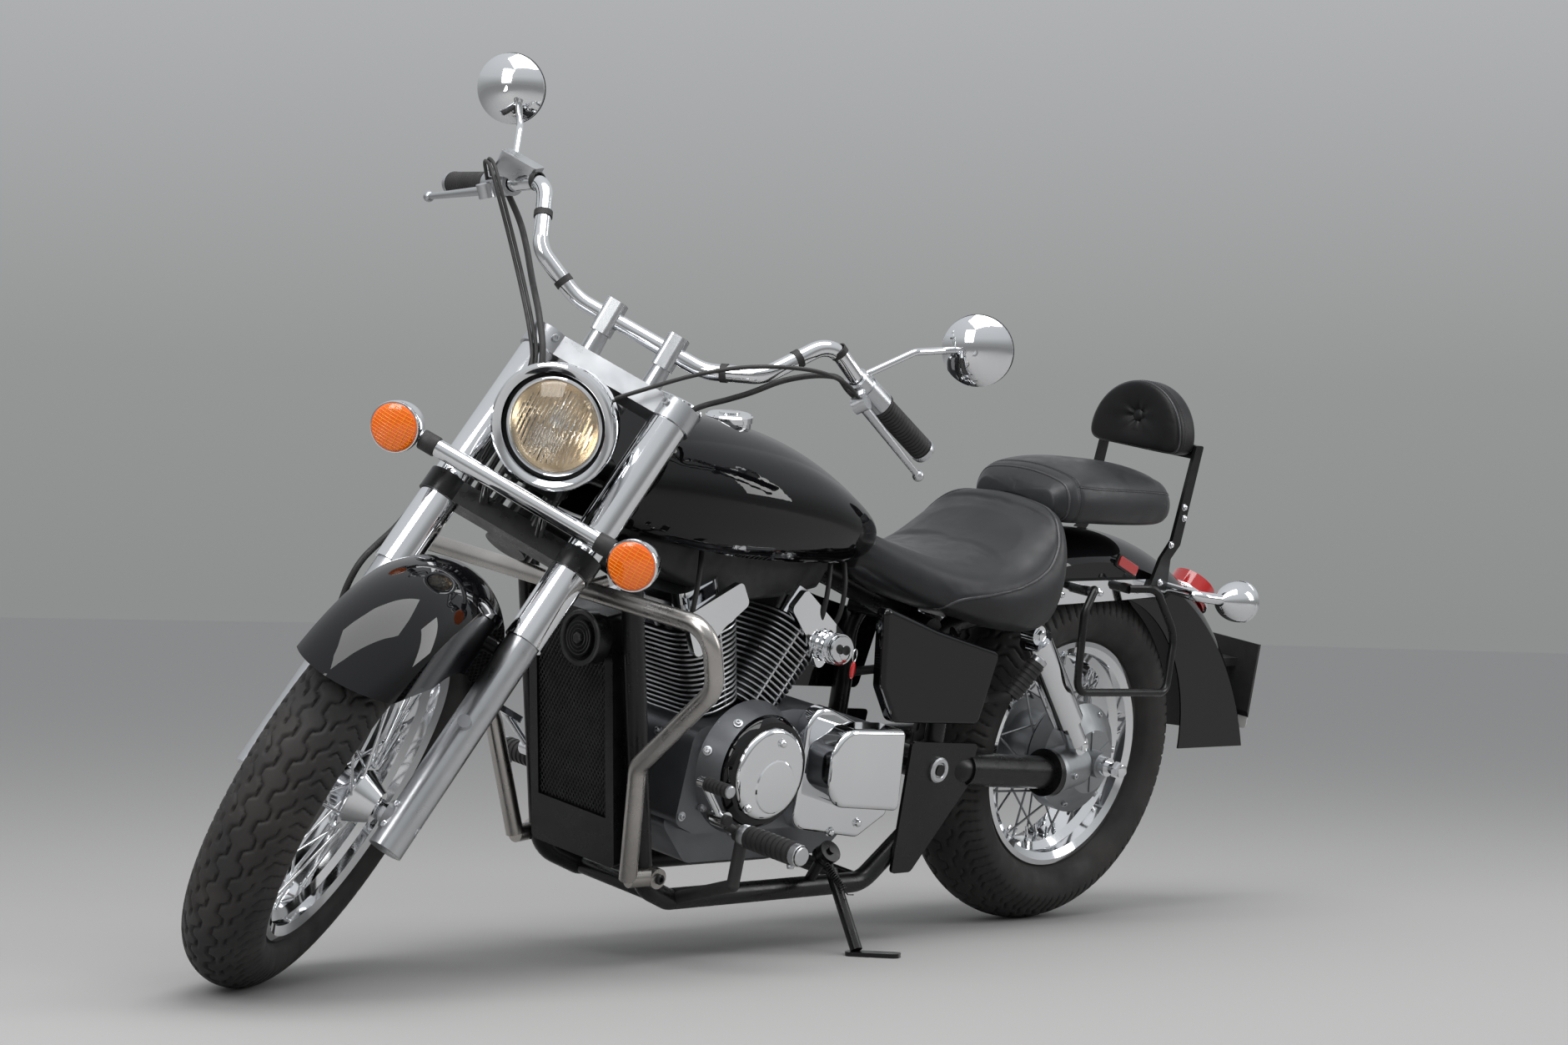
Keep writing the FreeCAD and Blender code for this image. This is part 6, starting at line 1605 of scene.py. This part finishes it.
# Speedometer and filler cap
# A black dial with pale marks in the chrome bowl, and a chrome cap with a grip edge.
DIAL_WAY = Vector((-0.34, 0, 0.94)).normalized()
DIAL_AT = Vector((1084, 0, 850)) + DIAL_WAY * 44
CAP_AT, CAP_UP = Vector((930, 0, 850)), Vector((0.12, 0, 1)).normalized()
DIAL_BLACK = finish("dial_black", (0.008, 0.008, 0.009), (0.012, 0.012, 0.013), rough=(0.25, 0.35),
                    coat=1.0, scale=50.0)
DIAL_MARKS = finish("dial_marks", (0.80, 0.80, 0.76), (0.74, 0.74, 0.70), rough=(0.4, 0.5), scale=60.0)
dial = turned("dial_face", "chassis", DIAL_BLACK, 30.0, [
    ([(-0.5, 0), (-0.5, 47), (0.9, 47), (0.9, 0)], DIAL_AT, DIAL_WAY, 72),
])
bezel = turned("dial_bezel", "chassis", CHROME, 30.0, [
    ([(-0.5, 46.6), (-0.5, 54), (2.4, 53.4), (4.2, 51), (3.8, 48), (1.0, 46.6), (-0.5, 46.6)],
     DIAL_AT, DIAL_WAY, 72),
    ([(18, 36.1), (19, 38.2), (28, 38.2), (30, 36.1), (18, 36.1)], CAP_AT, CAP_UP, 24),
    ([(31.8, 0), (31.8, 17), (34, 16.4), (35, 14), (35, 0)], CAP_AT, CAP_UP, 48),
])
dial_up = DIAL_WAY.cross(TO_LEFT)
marks = []
for n in range(33):
    a = radians(-130 + 260 * n / 32)
    ray = dial_up * -cos(a) + TO_LEFT * -sin(a)
    inner = 36 if n % 4 == 0 else 40
    marks.append([DIAL_AT + DIAL_WAY * 1.1 + ray * inner, DIAL_AT + DIAL_WAY * 1.1 + ray * 44])
needle_foot = DIAL_AT + DIAL_WAY * 1.6
marks.append([needle_foot, needle_foot + (dial_up * 0.64 + TO_LEFT * 0.77) * 34])
wires("dial_lines", marks, 0.7, "chassis", DIAL_MARKS, sides=4)


# Bolts of the frame and the tail
# Domed nuts on the chrome struts and the back rest's bars, hexagon heads on the dampers and axle,
# and cap bolts round the bevel gear housing.
rail_spots, bar_spots, damper_spots, axle_spots, gear_spots, pivot_spots = [], [], [], [], [], []
for side in (1, -1):
    y = Vector((0, -side, 0))
    rail_spots += [struck("fender_rails", (x, side * 300, z), y) for x, z in (
        (214, 618), (150, 620), (40, 624), (-70, 630),
    )]
    bar_spots += [struck("sissy_bar", (x, side * 300, z), y) for x, z in (
        (-124, 646), (-139, 716), (-160, 786), (-165, 766),
    )]
    damper_spots += [struck("shock_absorbers", (x, side * 300, z), y) for x, z in ((246, 556), (70, 356))]
    pivot_spots.append((Vector((440, side * 131, 322)), -y))
    axle_spots.append(struck("rear_axle", (0, side * 300, REAR_RADIUS), y))
for n in range(6):
    a = radians(60 * n + 50)
    gear_spots.append(struck("final_drive", (86 * cos(a), 300, REAR_RADIUS + 86 * sin(a)), TO_RIGHT))
PIVOT_CAP = shape_of("pivot_cap", [
    (-2, 0), (-2, 22), (4, 22), (6.5, 19.5), (6.5, 14), (4, 12), (4, 0),
], 32)
set_out("strut_nuts", DOME_NUT, rail_spots, "chassis", CHROME, 6.0)
set_out("back_bar_nuts", DOME_NUT, bar_spots, "chassis", CHROME, 5.0)
set_out("damper_bolts", HEX_BOLT, damper_spots, "chassis", CHROME, 10.0)
set_out("axle_nuts", HEX_BOLT, axle_spots, "chassis", CHROME, 13.0)
set_out("gear_housing_bolts", SOCKET_BOLT, gear_spots, "chassis", SATIN_ALUMINIUM, 5.5)
set_out("pivot_caps", PIVOT_CAP, pivot_spots, "chassis", SATIN_ALUMINIUM)
guard_spots = [struck("crash_bars", (1084, side * 400, 178), (0, -side, 0)) for side in (1, -1)]
set_out("guard_bolts", SOCKET_BOLT, guard_spots, "chassis", SATIN_BLACK, 8.0)


# Exhaust clamps
# Bright bands where the pipes enter the long muffler and where its tip is welded on.
MUFFLER_HEAD, MUFFLER_TAIL = Vector((440, -180, 258)), Vector((-180, -190, 290))
muffler_way = (MUFFLER_TAIL - MUFFLER_HEAD).normalized()
CLAMP = ((0, -1), (0, 2.2), (2, 3), (10, 3), (12, 2.2), (12, -1), (0, -1))
clamps = turned("exhaust_clamps", "chassis", SATIN_ALUMINIUM, 40.0, [
    ([(at + along, r + out) for along, out in CLAMP], centre, muffler_way, 56) for centre, at, r in (
        (MUFFLER_HEAD, -92, 40), (MUFFLER_HEAD, -6, 40.4), (MUFFLER_TAIL, -4, 52),
    )
])


# Reflectors, tail lamp and number plate
# Red reflectors in black frames on the fender's sides, a chrome ring round the red tail lamp, and a
# plain pale plate with nothing on it.
PLATE_PAINT = finish("plate_paint", (0.62, 0.62, 0.60), (0.54, 0.54, 0.53), rough=(0.3, 0.45),
                     scale=30.0, bump=0.05)
FENDER_CENTRE = Vector((26, 0, 97))
LAMP_TURN = radians(128)
LAMP_OUT = Vector((cos(LAMP_TURN), 0, sin(LAMP_TURN)))
LAMP_AT = FENDER_CENTRE + LAMP_OUT * 628


def slab(made, centre, across, up, out, half_across, half_up, thick, corner):
    """A plate with rounded corners and a small chamfer, standing out from its centre."""
    rows = []
    for depth, inset in ((0.0, 0.0), (0.8 * thick, 0.0), (thick, 0.2 * thick)):
        line = rounded_oblong(half_across, half_up, corner, 4, inset)
        rows.append([made.verts.new(centre + out * depth + across * a + up * b) for a, b in line])
    faces = bridged(made, rows)
    faces += [made.faces.new(rows[0]), made.faces.new(rows[-1])]
    bmesh.ops.recalc_face_normals(made, faces=faces)


reflector_frames, reflectors = bmesh.new(), bmesh.new()
for side in (1, -1):
    spot, out = nearest_on("rear_fender", (-42, side * 120, 678))
    across = Vector((1, 0, 0.35)).normalized()
    up = out.cross(across).normalized()
    across = up.cross(out).normalized()
    slab(reflector_frames, spot - out * 1.5, across, up, out, 33, 12, 6, 5)
    slab(reflectors, spot + out * 3.8, across, up, out, 30, 9, 3, 3.5)
placed_bmesh(reflector_frames, "reflector_frames", "chassis", BLACK_PLASTIC, 35.0)
placed_bmesh(reflectors, "side_reflectors", "chassis", RED_LENS, 35.0)
tail_parts = [
    ([(6, 44.2), (6, 48), (10, 49), (14, 48), (15, 44.2), (6, 44.2)], LAMP_AT, LAMP_OUT, 56),
]
tail_parts += [([(43.8, r - 0.8), (45, r), (43.8, r + 0.8), (43.8, r - 0.8)], LAMP_AT, LAMP_OUT, 40)
               for r in (14, 26, 37)]
turned("tail_lamp_ring", "chassis", CHROME, 40.0, tail_parts)
plate_spot, _ = struck("plate_bracket", (-900, 0, 437), (1, 0, 0))
plate = bmesh.new()
slab(plate, plate_spot + Vector((0.3, 0, 0)), TO_LEFT, UP, Vector((-1, 0, 0)), 73, 82, 2.2, 9)
placed_bmesh(plate, "blank_plate", "chassis", PLATE_PAINT, 35.0)
plate_bolts = [(plate_spot + Vector((-1.8, y, z)), Vector((-1, 0, 0)))
               for y in (-48, 48) for z in (66, -66)]
set_out("plate_bolts", HEX_BOLT, plate_bolts, "chassis", CHROME, 4.5)


# Stand spring
# A coil spring pulls the leg against its stop, from a lug on the frame to a hook down the leg.
STAND_PIVOT = Vector((690, 134, 190))
stand_low = min(frame["nodes"]["side_stand"].data.vertices, key=lambda v: v.co.z).co
stand_down = (CHASSIS.inverted() @ stand_low - STAND_PIVOT).normalized()
SPRING_TOP = STAND_PIVOT + Vector((18, 6, -4))
SPRING_LOW = STAND_PIVOT + stand_down * 82 + Vector((14, 2, 0))
spring_way = (SPRING_LOW - SPRING_TOP).normalized()
spring_side = spring_way.orthogonal().normalized()
spring_other = spring_way.cross(spring_side)
COILS = 13
COIL_STEPS = 10
COIL_R = 5.4
coil = []
for i in range(COILS * COIL_STEPS + 1):
    a = 2 * pi * i / COIL_STEPS
    middle = SPRING_TOP + (SPRING_LOW - SPRING_TOP) * (0.14 + 0.72 * i / (COILS * COIL_STEPS))
    coil.append(middle + (spring_side * cos(a) + spring_other * sin(a)) * COIL_R)
whole_wire = [SPRING_TOP, SPRING_TOP.lerp(SPRING_LOW, 0.1)] + coil
whole_wire += [SPRING_TOP.lerp(SPRING_LOW, 0.9), SPRING_LOW, STAND_PIVOT + stand_down * 84]
spring = wires("stand_spring", [whole_wire], 1.2, "chassis", SATIN_BLACK, sides=6, rides=False)
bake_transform(spring)
